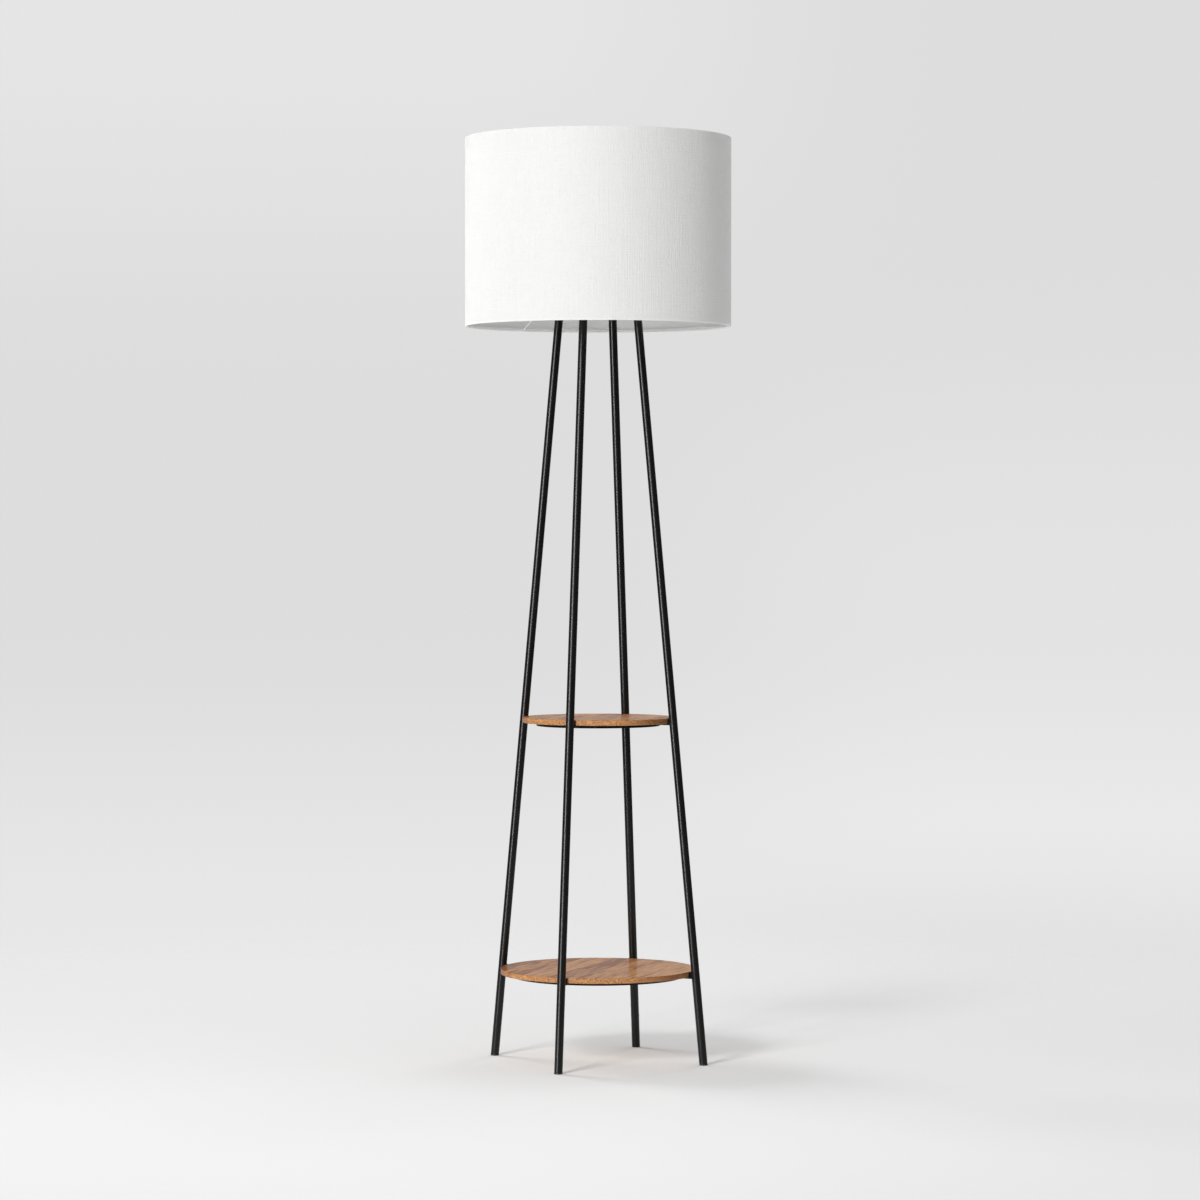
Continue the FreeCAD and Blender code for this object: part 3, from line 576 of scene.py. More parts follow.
BLACK_ZINC = black_zinc()
flat_head = rounded([(WOOD_SCREW_SHANK - 0.05, 0.05 - WOOD_SCREW_CONE, 0),
                     (WOOD_SCREW_HEAD - 0.1, -0.03, 0.08), (2.4, -0.03, 0)])
for name, shelf in SHELVES.items():
    seat = shelf["top"] - BOARD_THICKNESS - TAB_THICKNESS
    heads = []
    for azimuth in LEG_AZIMUTHS.values():
        out, aside, up = direction(azimuth)
        at = (out * (shelf["ring"] + lug_face(shelf)) / 2 + up * seat, out, -aside, -up)
        heads.append(screw_head(flat_head, cross(0.45, 1.7), 1.1, at))
    piece(name + "_wood_screw_heads", heads, BLACK_ZINC,
          "stand", [name + "_shelf_wood_screws"])
    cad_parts[name + "_shelf_frame_screws"].data.materials[0] = BLACK_ZINC

# ==== the top plate ===========================================================
# A pressed steel disc under the shade, 152 mm across. Its rim is dished so that it lies square on the
# four leaning legs, and a domed hexagon-key screw goes through it into the plug in each leg.

PLATE_UNDERSIDE, PLATE_THICKNESS = 1252.0, 3.0
PLATE_FLAT, PLATE_RADIUS, NIPPLE_RADIUS = 45.0, 76.0, 4.9
PLATE_TOP = PLATE_UNDERSIDE + PLATE_THICKNESS


def top_plate():
    """The dished section, its rim and bend rounded, turned round the lamp's axis."""
    rim_low = PLATE_UNDERSIDE + (PLATE_RADIUS - PLATE_FLAT) * LEG_TAPER
    rim_high, hole, bend, ease = rim_low + PLATE_THICKNESS / math.cos(LEAN), NIPPLE_RADIUS + 0.2, 12, 0.9
    return turned(rounded([(hole, PLATE_UNDERSIDE, 0), (PLATE_FLAT, PLATE_UNDERSIDE, bend),
                           (PLATE_RADIUS, rim_low, ease), (PLATE_RADIUS, rim_high, ease),
                           (PLATE_FLAT, PLATE_TOP, bend), (hole, PLATE_TOP, 0)]), columns=128)


def hexagon(across_flats):
    """A hexagon as a radius by angle."""

    def radius(angle):
        return across_flats / 2 / np.cos((angle + math.pi / 6) % (math.pi / 3) - math.pi / 6)

    return radius


def zinc_plate():
    """Bright zinc plate: turned streaks too fine to see one by one, and a pale bloom."""
    finish = Finish("bright_zinc_plate")
    spot = finish.place()
    bloom = finish.noise(spot, 5.0, 3.0)
    streak = finish.noise(finish.place(0, (1.0, 1.0, 9.0)), 1.0, 3.0)
    return finish.surface(height=streak, relief=0.02,
                          base_color=finish.mix(bloom, (0.50, 0.52, 0.55), (0.68, 0.69, 0.70)),
                          metallic=1.0, roughness=0.22 + 0.2 * bloom)


ZINC = zinc_plate()
piece("dished_top_plate", [top_plate()], SATIN_COAT, "stand", ["top_plate"])
domed_head, heads = rounded([(5.5, 0, 0), (5.5, 0.6, 1.9), (3.3, 3.0, 0)], steps=5), []
for azimuth in LEG_AZIMUTHS.values():
    point, out, side, along = leg_frame(azimuth, SEAT_HEIGHT)
    seat = point + along * (PLATE_THICKNESS + 0.1)
    heads.append(screw_head(domed_head, hexagon(3.8), 1.9, (seat, out, side, along)))
piece("plate_screw_heads", heads, ZINC, "stand", ["top_plate_screws"])
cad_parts["leg_top_inserts"].data.materials[0] = ZINC

# ==== the nipple, its nut and washer ==========================================
# A threaded steel tube holds the lamp holder on the plate, with a hexagon nut and a washer below. The
# cord goes up through it.

NIPPLE_BORE, NIPPLE_PITCH = 3.6, 1.0


def threaded(radius, depth, pitch, low, high, inner, columns=48, per_turn=8):
    """A tube with a rolled thread: r = R - depth (1 - cos(2 pi z / pitch - a)) / 2, faded out at its ends."""
    rows = int((high - low) / pitch * per_turn)
    z = np.linspace(low, high, rows)[:, None]
    angle = full_turn(columns)
    fade = np.clip(np.minimum(z - low, high - z) / (0.5 * pitch), 0, 1)
    wall = radius - depth + fade * depth * (1 + np.cos(2 * math.pi * z / pitch - angle)) / 2
    edge = np.full((1, columns), inner)
    r = np.concatenate([edge, wall, edge])
    z = np.concatenate([[[low]], z, [[high]]]) + 0 * r
    return polar(r, angle, z), grid(len(r), columns, True, True)


def nut(low, high, across_flats, bore, columns=72):
    """A hexagon prism under two cones: the edge drops by (r - flat / 2) tan 30 from each face."""
    angle = full_turn(columns)
    corner = hexagon(across_flats)(angle)
    drop = (corner - across_flats / 2) * math.tan(math.pi / 6)
    hole, flat = bore + 0 * angle, across_flats / 2 - 0.15 + 0 * angle
    low, high = low + 0 * angle, high + 0 * angle
    r = np.stack([hole, flat, corner, corner, flat, hole])
    z = np.stack([low, low, low + 0.1 + drop, high - 0.1 - drop, high, high])
    return polar(r, angle, z), grid(len(r), columns, True, True)


def washer(low, high, outer, bore):
    """A flat section with its outer corners eased, turned round the lamp's axis."""
    return turned(rounded([(bore, low, 0), (outer, low, 0.3), (outer, high, 0.2), (bore, high, 0)]))


ON_NIPPLE, WASHER_LOW = NIPPLE_RADIUS + 0.05, PLATE_UNDERSIDE - 1
nipple = threaded(NIPPLE_RADIUS, 0.5, NIPPLE_PITCH, PLATE_UNDERSIDE - 8, PLATE_TOP + 11, NIPPLE_BORE)
for name, shell, node in (
        ("rolled_nipple", nipple, "threaded_nipple"),
        ("flat_washer", washer(WASHER_LOW, PLATE_UNDERSIDE, 8.5, ON_NIPPLE), "nipple_washer"),
        ("hexagon_nut", nut(WASHER_LOW - 4, WASHER_LOW, 14.0, ON_NIPPLE), "nipple_nut")):
    piece(name, [shell], ZINC, "stand", [node])

# ==== the lamp holder =========================================================
# A moulded black holder: a cap screwed on the nipple, a body with the switch inside, a shoulder for
# the shade, and a threaded skirt. Inside it are a rolled brass shell and a centre contact.

SOCKET_RADIUS, SKIRT_RADIUS, SOCKET_MOUTH, SHOULDER_RADIUS = 17.5, 19.3, 14.2, 23.5
CAP_TOP, SHOULDER_TOP, SOCKET_TOP, FLOOR_TOP = 1277.0, 1305.0, 1323.0, 1297.0


def moulded_black():
    """Semi-gloss moulded black: faint flow lines, and a finger's worth of haze."""
    finish = Finish("semi_gloss_moulding")
    spot = finish.place()
    haze, peel = finish.noise(spot, 14.0, 3.0), finish.noise(spot, 0.9, 2.0)
    return finish.surface(height=peel, relief=0.02,
                          base_color=finish.mix(haze, (0.012, 0.012, 0.012), (0.018, 0.018, 0.019)),
                          roughness=0.20 + 0.16 * haze)


def brass():
    """Plain rolled brass, a little browner where it has tarnished."""
    finish = Finish("rolled_brass")
    tarnish = finish.noise(finish.place(), 4.0, 4.0)
    return finish.surface(base_color=finish.mix(tarnish, (0.83, 0.62, 0.27), (0.60, 0.40, 0.16)),
                          metallic=1.0, roughness=0.24 + 0.22 * tarnish)


def holder_cap():
    """The flared cup below: nipple boss, cone, and a rim with a fine groove at its joint."""
    boss, groove, inside, end = 8.5, SOCKET_RADIUS - 0.35, 15.9, CAP_TOP - 0.02
    return turned(rounded([
        (ON_NIPPLE, PLATE_TOP, 0), (boss, PLATE_TOP, 0.6), (boss, 1260.0, 1.5), (12.5, 1262.5, 2.0),
        (SOCKET_RADIUS, 1268.0, 2.0), (SOCKET_RADIUS, CAP_TOP - 1.6, 0.2), (groove, CAP_TOP - 1.4, 0.2),
        (groove, end, 0), (inside, end, 0), (inside, 1268.8, 0), (11.6, 1264.2, 0),
        (ON_NIPPLE, 1263.2, 0)]), columns=96)


def holder_body():
    """The barrel, shoulder and skirt; the skirt's wall is a thread, as in threaded()."""
    low, high, pitch, depth = SHOULDER_TOP + 1.2, SOCKET_TOP - 1.0, 2.5, 0.5
    inside, spigot, foot, joint, hole, below = 13.8, 15.8, CAP_TOP - 6, CAP_TOP + 0.02, 2.0, FLOOR_TOP - 4
    head = rounded([(inside, foot, 0), (spigot, foot, 0), (spigot, joint, 0), (SOCKET_RADIUS, joint, 0.4),
                    (SOCKET_RADIUS, SHOULDER_TOP - 5.5, 2.0), (SHOULDER_RADIUS, SHOULDER_TOP - 2.5, 0.6),
                    (SHOULDER_RADIUS, SHOULDER_TOP, 0.4), (SKIRT_RADIUS - depth, SHOULDER_TOP, 0)])
    tail = rounded([(SKIRT_RADIUS - 0.8, SOCKET_TOP, 0.4), (SOCKET_MOUTH, SOCKET_TOP, 0.4),
                    (SOCKET_MOUTH, FLOOR_TOP, 0), (hole, FLOOR_TOP, 0), (hole, below, 0), (inside, below, 0)])
    z = np.linspace(low, high, 56)
    section = np.concatenate([head, np.stack([SKIRT_RADIUS + 0 * z, z], -1), tail])

    def radii(angle, rows):
        height = rows[:, 1:]
        skirt = np.zeros((len(rows), 1))
        skirt[len(head):len(head) + len(z)] = 1
        fade = np.clip(np.minimum(height - low, high - height) / 1.2, 0, 1)
        wave = depth * (1 - fade * (1 + np.cos(2 * math.pi * height / pitch - angle)) / 2)
        return rows[:, :1] - skirt * wave

    return turned(section, columns=96, radii=radii)


def brass_shell():
    """A thin cup whose wall is rolled to the bulb's thread: r = R + d (1 + cos(2 pi z / pitch - a)) / 2."""
    inside, outside, hole, roll, level = 13.6, 14.1, 9.0, 0.44, FLOOR_TOP + 0.6
    z = np.linspace(FLOOR_TOP + 1.5, SOCKET_TOP - 4, 64)
    outer = np.stack([outside + 0 * z, z], -1)
    inner = np.stack([inside + 0 * z, z], -1)[::-1]
    section = np.concatenate([[[hole, FLOOR_TOP]], [[inside, FLOOR_TOP]], outer, inner,
                              [[inside - 0.4, level]], [[hole, level]]])

    def radii(angle, rows):
        wall = ((rows[:, :1] >= inside) & (rows[:, 1:] > FLOOR_TOP + 1)) * 1.0
        wave = roll * (1 + np.cos(2 * math.pi * rows[:, 1:] / BULB_PITCH - angle)) / 2
        return rows[:, :1] + wall * np.where(rows[:, :1] < outside, wave, wave - roll)

    return turned(section, columns=72, radii=radii)


BULB_PITCH = 3.63
MOULDED, BRASS = moulded_black(), brass()
piece("holder_cap", [holder_cap()], MOULDED, "stand", ["socket_cap"])
piece("holder_body", [holder_body()], MOULDED, "stand", ["socket_body"])
piece("rolled_screw_shell", [brass_shell()], BRASS, "stand", ["socket_screw_shell"])
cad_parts["socket_centre_contact"].data.materials[0] = BRASS

# ==== the switch ==============================================================
# A turn key on a steel shaft through the holder's side: a round collar that flattens into a paddle
# with a rounded end. It turns the switch drum inside the holder.

SWITCH_HEIGHT, SHAFT_RADIUS = 1285.0, 1.6
SWITCH_CENTRE = np.array([0, 0, SWITCH_HEIGHT])
KEY_WIDE, KEY_THICK, KEY_OUT = np.array([[1.0, 0, 0], [0, 0, 1], [0, -1, 0]])


def turn_key():
    """Superellipse sections |x/w|^n + |z/t|^n = 1 along the shaft: n grows from 2 at the collar to 4.5.

    The half width w follows the collar and the neck, and then a circle round the paddle's end.
    """
    start, middle, half = 19.0, 32.0, 7.0
    along = np.concatenate([[start, start, 19.3], np.linspace(20, 24.5, 4), np.linspace(25, 31.5, 14),
                            middle + half * np.sin(np.linspace(0, math.pi / 2, 16))])
    wide = np.interp(along, [start, 19.3, 20.0, 24.5, 28.5, 31.0], [4.0, 4.3, 4.4, 4.4, 6.8, half])
    wide = np.where(along > middle, np.sqrt(np.maximum(half ** 2 - (along - middle) ** 2, 0)), wide)
    thick = np.interp(along, [start, 19.3, 20.0, 24.6, 27.6, 36.5, 38.3, middle + half],
                      [4.0, 4.3, 4.4, 4.4, 2.1, 2.1, 1.75, 0.7])
    wide[0], thick[0] = SHAFT_RADIUS, SHAFT_RADIUS
    power = np.interp(along, [24.0, 28.0], [2.0, 4.5])[:, None]
    angle = full_turn(64)
    c, s = np.cos(angle), np.sin(angle)
    x = wide[:, None] * np.sign(c) * abs(c) ** (2 / power)
    y = thick[:, None] * np.sign(s) * abs(s) ** (2 / power)
    waist = 1 - 0.16 * np.exp(-((along - 32.5) / 3.2) ** 2)[:, None] * np.exp(-(x / 4.2) ** 2)
    return loft(placed(x, -y * waist, along[:, None], (SWITCH_CENTRE, KEY_WIDE, KEY_THICK, KEY_OUT)))


piece("turn_key", [turn_key()], MOULDED, "switch", ["switch_knob"])
shaft = rounded([(0, -2, 0), (SHAFT_RADIUS, -2, 0.3), (SHAFT_RADIUS, 28, 0.3), (0, 28, 0)])
piece("switch_pin", [turned(shaft, (SWITCH_CENTRE, KEY_THICK, KEY_WIDE, KEY_OUT), 32, False)],
      ZINC, "switch", ["switch_shaft"])
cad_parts["switch_cam"].data.materials[0] = MOULDED

# ==== the shade's fitter ======================================================
# White enamelled steel: a flat ring that sits on the holder's shoulder, three wires bent down to the
# shade, and the two ring wires that hold its rims round.

FITTER_BORE, FITTER_RADIUS, FITTER_THICKNESS = 19.8, 25.0, 1.2
ARM_RADIUS, ARM_KNEE, WIRE_RADIUS, WIRE_CIRCLE, WIRE_INSET = 1.1, 33.0, 1.3, 213.5, 1.8
ARM_AZIMUTHS = (101.4, 221.4, 341.4)
SHADE_RADIUS, SHADE_BOTTOM, SHADE_TOP = 215.9, 1193.8, 1498.6


def swept_arm(azimuth, columns=16):
    """A round section carried along the bent line, square to it: point + r (cos a n + sin a side)."""
    level = SHOULDER_TOP + FITTER_THICKNESS / 2
    line = rounded([(FITTER_RADIUS - 0.6, level, 0), (ARM_KNEE, level, 6.0),
                    (WIRE_CIRCLE - 0.4, SHADE_BOTTOM + WIRE_INSET + 0.2, 0)], steps=8)
    out, side, up = direction(azimuth)
    tangent = np.gradient(line, axis=0)
    tangent = tangent / np.linalg.norm(tangent, axis=1, keepdims=True)
    angle = full_turn(columns)
    x = line[:, :1] - ARM_RADIUS * np.cos(angle) * tangent[:, 1:]
    z = line[:, 1:] + ARM_RADIUS * np.cos(angle) * tangent[:, :1]
    return loft(placed(x, -ARM_RADIUS * np.sin(angle) + 0 * x, z, (np.zeros(3), out, side, up)))


def weld_bead(azimuth):
    """A small mound of weld between arm and wire: a sphere drawn out along the wire."""
    turn = np.linspace(-math.pi / 2, math.pi / 2, 9)
    bead = 1.75 * np.stack([np.cos(turn), np.sin(turn)], -1)
    out, side, up = direction(azimuth)
    centre = out * (WIRE_CIRCLE - 0.2) + up * (SHADE_BOTTOM + WIRE_INSET + 0.1)
    return turned(bead, (centre, up, out, side * 1.5), 16, False)


def wire_ring(z):
    """A round section turned round the lamp's axis."""
    turn = full_turn(16)
    wire = WIRE_RADIUS * np.stack([np.cos(turn), np.sin(turn)], -1)
    return turned([WIRE_CIRCLE, z] + wire, columns=240)


def white_enamel():
    """White enamel on wire: thin and a little uneven, greyer in the bump's hollows as painted shade."""
    finish = Finish("white_enamel")
    drift = finish.noise(finish.place(), 6.0, 3.0)
    # Painted shade: the enamel is greyer where the bump is low.
    return finish.surface(height=drift, relief=0.05,
                          base_color=finish.mix(drift, (0.92, 0.92, 0.91), (0.96, 0.96, 0.955)),
                          roughness=0.28 + 0.15 * drift)


ENAMEL = white_enamel()
fitter_top, eased = SHOULDER_TOP + FITTER_THICKNESS, 0.3
arms = [make(azimuth) for make in (swept_arm, weld_bead) for azimuth in ARM_AZIMUTHS]
flat = rounded([(FITTER_BORE, SHOULDER_TOP, eased), (FITTER_RADIUS, SHOULDER_TOP, eased),
                (FITTER_RADIUS, fitter_top, eased), (FITTER_BORE, fitter_top, eased)], steps=3)
for name, shells in (("fitter_ring", [turned(flat, columns=96)]), ("fitter_arms", arms),
                     ("lower_wire", [wire_ring(SHADE_BOTTOM + WIRE_INSET)]),
                     ("upper_wire", [wire_ring(SHADE_TOP - WIRE_INSET)])):
    piece(name, shells, ENAMEL, "stand", ["shade_" + name])

# ==== the clamp ring ==========================================================
# A moulded black ring with twelve finger grips, screwed down over the skirt to hold the shade.

CLAMP_BOTTOM, CLAMP_TOP, CLAMP_RADIUS, CLAMP_FLANGE, CLAMP_GRIPS = 1306.5, 1315.5, 22.8, 24.2, 12


def clamp_ring():
    """The section, with its wall pushed in at the grips: r = R - 0.75 exp(-(chord / 1.1)^4)."""
    bore = SKIRT_RADIUS + 0.06
    section = rounded([(bore, CLAMP_BOTTOM, 0.2), (CLAMP_FLANGE, CLAMP_BOTTOM, 0.5),
                       (CLAMP_FLANGE, CLAMP_BOTTOM + 2.5, 0.5), (CLAMP_RADIUS, CLAMP_BOTTOM + 3.2, 0.3),
                       (CLAMP_RADIUS, CLAMP_TOP, 1.0), (bore, CLAMP_TOP, 0.5)])

    def radii(angle, rows):
        step = 2 * math.pi / CLAMP_GRIPS
        chord = CLAMP_RADIUS * np.sin((angle + step / 2) % step - step / 2)
        share = np.clip((rows[:, :1] - 20.6) / 2.0, 0, 1) * (rows[:, 1:] > CLAMP_BOTTOM + 2.7)
        return rows[:, :1] - 0.75 * share * np.exp(-(chord / 1.1) ** 4)

    return turned(section, columns=240, radii=radii)


piece("grip_ring", [clamp_ring()], MOULDED, "clamp_ring", ["shade_clamp_ring"])

# ==== the shade's lining ======================================================
# A sheet of white styrene, 0.6 mm thick, rolled into a drum. The cloth is laminated to its outside;
# its own glued lap shows inside, at the back left.

LINER_OUTSIDE, LINER_INSIDE, CLOTH = 215.4, 214.8, 0.5
SEAM_AZIMUTH = 143.4


def lining():
    """A thin drum whose inner face steps in by step over a lap, with flanks at the lap's two ends."""
    half_lap, flank, step = 4.5, 0.6, 0.4
    levels = np.linspace(SHADE_BOTTOM + CLOTH, SHADE_TOP - CLOTH, 9)
    section = np.concatenate([np.stack([LINER_OUTSIDE + 0 * levels, levels], -1),
                              np.stack([LINER_INSIDE + 0 * levels, levels[::-1]], -1)])

    def radii(angle, rows):
        away = LINER_INSIDE * ((angle - math.radians(SEAM_AZIMUTH) + math.pi) % (2 * math.pi) - math.pi)
        lap = np.clip((half_lap - abs(away)) / flank, 0, 1)
        return rows[:, :1] - step * lap * (rows[:, :1] < LINER_INSIDE + 0.1)

    return turned(section, columns=720, radii=radii)


def styrene():
    """White styrene film: smooth, with faint rolling marks up the drum and a soft sheen."""
    finish = Finish("white_styrene")
    spot = finish.place()
    marks = finish.noise(finish.place(0, (1.0, 1.0, 0.04)), 2.5, 3.0)
    cloud = finish.noise(spot, 60.0, 3.0)
    return finish.surface(height=marks, relief=0.06,
                          base_color=finish.mix(cloud, (0.81, 0.81, 0.80), (0.85, 0.85, 0.845)),
                          roughness=0.42 + 0.12 * cloud)


piece("styrene_lining", [lining()], styrene(), "stand", ["shade_liner"])

# ==== the shade's cloth =======================================================
# White linen, cut as one strip 329 mm wide, wrapped round the lining and lapped by 10 mm at the back
# left. Its edges turn in over the ring wires and are glued down as hems 7.5 mm high.

HEM, LAP, LIFT, THREAD, CLOTH_TALL = 7.5, 10.0, 0.52, 0.8, 329.0


def cover():
    """A strip's mid-line (hem, wire, wall, wire, hem) carried once round and a lap more.

    Both faces are the mid-line moved by half the cloth along its normal n, and where the end laps over
    the start the whole section rises by a smooth step of LIFT along n. u is the arc and v the length
    along the section, so that the weave follows the cloth.
    """
    middle = CLOTH / 2
    wall, glued, wrapped = SHADE_RADIUS - middle, LINER_INSIDE - middle, WIRE_CIRCLE - WIRE_RADIUS - middle
    low = rounded([(glued, HEM, 0), (glued, 6.6, 0.8), (wrapped, 4.9, 1.2), (wrapped, middle, 1.9),
                   (wall, middle, 0.45), (wall, 3.0, 0)], steps=5)
    up = np.stack([np.full(30, wall), np.linspace(8, SHADE_TOP - SHADE_BOTTOM - 8, 30)], -1)
    high = low[::-1] * [1, -1] + [0, SHADE_TOP - SHADE_BOTTOM]
    line = np.concatenate([low, up, high]) + [0, SHADE_BOTTOM]
    tangent = np.gradient(line, axis=0)
    tangent = tangent / np.linalg.norm(tangent, axis=1, keepdims=True)
    normal = np.stack([tangent[:, 1], -tangent[:, 0]], -1)
    length = np.concatenate([[0], np.cumsum(np.linalg.norm(np.diff(line, axis=0), axis=1))])
    lap = LAP / SHADE_RADIUS
    angle = np.concatenate([np.linspace(0, 2 * math.pi - 2 * lap, 300)[:-1],
                            np.linspace(2 * math.pi - 2 * lap, 2 * math.pi + lap, 24)])
    rise = np.clip((angle - 2 * math.pi + 0.6 * lap) / (0.5 * lap), 0, 1)
    rise = LIFT * rise * rise * (3 - 2 * rise)
    waver = 0.06 * np.sin(7 * angle + 1.3) + 0.05 * np.sin(17 * angle) + 0.03 * np.sin(41 * angle)
    cut = np.clip(1 - np.minimum(length, length[-1] - length)[:, None] / 2.0, 0, 1)
    sides = []
    for half in (middle, -middle):
        r = line[:, :1] + normal[:, :1] * (half + rise)
        z = line[:, 1:] + normal[:, 1:] * (half + rise)
        sides.append((r, z + np.sign(z - (SHADE_TOP + SHADE_BOTTOM) / 2) * waver * cut))
    r, z = (np.concatenate([out, inside[::-1]]) for out, inside in zip(*sides))
    turn = angle + math.radians(SEAM_AZIMUTH)
    rows, columns = r.shape
    faces = grid(rows, columns, close_rows=True)
    rungs = np.arange(rows // 2 - 1)
    across = rows - 1 - rungs
    near = np.stack([rungs, rungs + 1, across - 1, across], -1) * columns
    ends = [near[:, ::-1], near + columns - 1]
    along = np.concatenate([length, length[::-1]])[:, None] + 0 * r
    uv = np.stack([SHADE_RADIUS * turn + 0 * r, along], -1).reshape(-1, 2) * MM
    return polar(r, turn, z), [faces, *ends], uv


def linen():
    """A plain weave of uneven threads: warp up the shade, weft round it, slubs where a thread is thick.

    u and v come from the cloth's own map, in threads. With a = sin(pi u), b = sin(pi v) and c = a b,
    the weave's height is the larger of (|a| + c) / 2 and (|b| - c) / 2, so that each thread goes over
    one and under the next. Noise drawn out along the threads makes them swell. The hems are painted
    whiter than the wall, a painted highlight for the light that the turned-in hems catch.
    """
    finish = Finish("white_linen")
    spot = finish.place(uv=True)

    def drawn(u, v, detail):
        """Noise with patches u by v millimetres."""
        return finish.noise(finish.vector("MULTIPLY", spot, (1 / u, 1 / v, 1)), 1.0, detail, 0.55)

    warp, weft = drawn(1.4, 10.0, 2.0), drawn(10.0, 1.4, 2.0)
    long_warp, long_weft = drawn(2.0, 90.0, 1.0), drawn(70.0, 2.0, 1.0)
    slubs = finish.ramp(drawn(1.6, 16.0, 2.0), 0.58, 0.80) * 0.6 + \
        finish.ramp(drawn(16.0, 1.6, 2.0), 0.60, 0.82) * 0.4
    threads = warp * 0.36 + weft * 0.20 + long_warp * 0.30 + long_weft * 0.14
    around, along = finish.part(spot, "X"), finish.part(spot, "Y")
    a, b = (finish.maths("SINE", way * (math.pi / THREAD) + swell * 2.5)
            for way, swell in ((around, warp), (along, weft)))
    over, under = (finish.maths("ABSOLUTE", each) for each in (a, b))
    weave = finish.maths("MAXIMUM", over + a * b, under - a * b)
    wall = finish.mix(finish.ramp(threads * 0.92 + slubs * 0.12, 0.30, 0.64),
                      (0.866, 0.866, 0.858), (0.913, 0.913, 0.909))
    # Painted highlight: the hems are whiter than the wall for the light they catch.
    hem = finish.ramp(finish.maths("ABSOLUTE", along - CLOTH_TALL / 2), 150.0, 153.0)
    return finish.surface(height=threads + slubs * 0.3 + weave * 0.06, relief=1.75,
                          base_color=finish.mix(hem, wall, (0.960, 0.960, 0.955)),
                          roughness=0.78 + 0.15 * warp, specular_ior_level=0.15)


points, faces, uv = cover()
cloth = piece("linen_cover", [(points, faces)], linen(), "stand", ["shade_cover"], crease=60)
layer = cloth.data.uv_layers.new(name="cloth")
corners = np.empty(len(cloth.data.loops), np.int32)
cloth.data.loops.foreach_get("vertex_index", corners)
layer.data.foreach_set("uv", uv[corners].ravel())

# ==== the bulb ================================================================
# A frosted glass bulb with a rolled metal screw base, a black glass insulator and a tip contact. It
# stands on the holder's centre contact and unscrews with the joint bulb_turn.

BULB_RADIUS, BULB_TOP, NECK_RADIUS, NECK_CURVE, BASE_RADIUS = 30.0, 1409.5, 14.0, 35.0, 13.2
TIP_BOTTOM = FLOOR_TOP + 2.9
BASE_BOTTOM, BASE_TOP = TIP_BOTTOM + 4.5, TIP_BOTTOM + 26.5


def globe():
    """The dome, x = R cos t, z = c + R sin t, and the hollow neck, a circle outside it that touches both."""
    middle, out = BULB_TOP - BULB_RADIUS, NECK_RADIUS + NECK_CURVE
    reach = math.sqrt((BULB_RADIUS + NECK_CURVE) ** 2 - out ** 2)
    turn = math.atan2(reach, out)
    dome = np.linspace(-turn, math.pi / 2, 48)
    neck = np.linspace(0, turn, 24)[:-1]
    lower = np.stack([out - NECK_CURVE * np.cos(neck), middle - reach + NECK_CURVE * np.sin(neck)], -1)
    upper = np.stack([BULB_RADIUS * np.cos(dome), middle + BULB_RADIUS * np.sin(dome)], -1)
    foot = np.array([[0, BASE_TOP], [NECK_RADIUS - 0.5, BASE_TOP], [NECK_RADIUS, BASE_TOP + 0.6]])
    return turned(np.concatenate([foot, lower, upper]), closed=False, columns=80)


def screw_base():
    """The base's rolled thread, r = R - 0.9 (1 - cos(2 pi z / pitch - a)) / 2, between two plain rims."""
    z = np.linspace(BASE_BOTTOM, BASE_TOP, 110)
    section = np.concatenate([[[0, BASE_BOTTOM]], np.stack([BASE_RADIUS + 0 * z, z], -1), [[0, BASE_TOP]]])

    def radii(angle, rows):
        height = rows[:, 1:]
        fade = np.clip(np.minimum(height - BASE_BOTTOM - 1.5, BASE_TOP - 2.5 - height) / 1.5, 0, 1)
        low = np.clip((BASE_BOTTOM + 2 - height) / 2, 0, 1)
        wave = 0.45 * fade * (1 - np.cos(2 * math.pi * height / BULB_PITCH - angle))
        return np.where(rows[:, :1] > 0, rows[:, :1] - wave - 1.6 * low, 0 * angle)

    return turned(section, closed=False, columns=80, radii=radii)


def frosted_glass():
    """A glass bulb with a white powder inside: an even white under a smooth clear skin."""
    finish = Finish("frosted_glass")
    powder = finish.noise(finish.place(), 3.0, 4.0)
    return finish.surface(base_color=finish.mix(powder, (0.84, 0.84, 0.82), (0.90, 0.90, 0.885)),
                          roughness=0.30 + 0.06 * powder, coat_weight=0.6, coat_roughness=0.05)


def rolled_aluminium():
    """Thin bright metal: fine draw lines round it and small dull spots."""
    finish = Finish("rolled_aluminium")
    spots = finish.noise(finish.place(), 1.5, 4.0)
    lines = finish.noise(finish.place(0, (0.05, 0.05, 6.0)), 1.0, 2.0)
    return finish.surface(height=lines, relief=0.02,
                          base_color=finish.mix(spots, (0.66, 0.66, 0.67), (0.80, 0.80, 0.80)),
                          metallic=1.0, roughness=0.24 + 0.2 * spots)


def black_glass():
    """The insulator: dark vitrified glass with small pits."""
    finish = Finish("black_glass")
    pits = finish.noise(finish.place(), 0.7, 3.0)
    return finish.surface(height=finish.ramp(pits, 0.35, 0.5), relief=0.05,
                          base_color=finish.mix(pits, (0.012, 0.011, 0.014), (0.028, 0.026, 0.032)),
                          roughness=0.12 + 0.2 * pits)


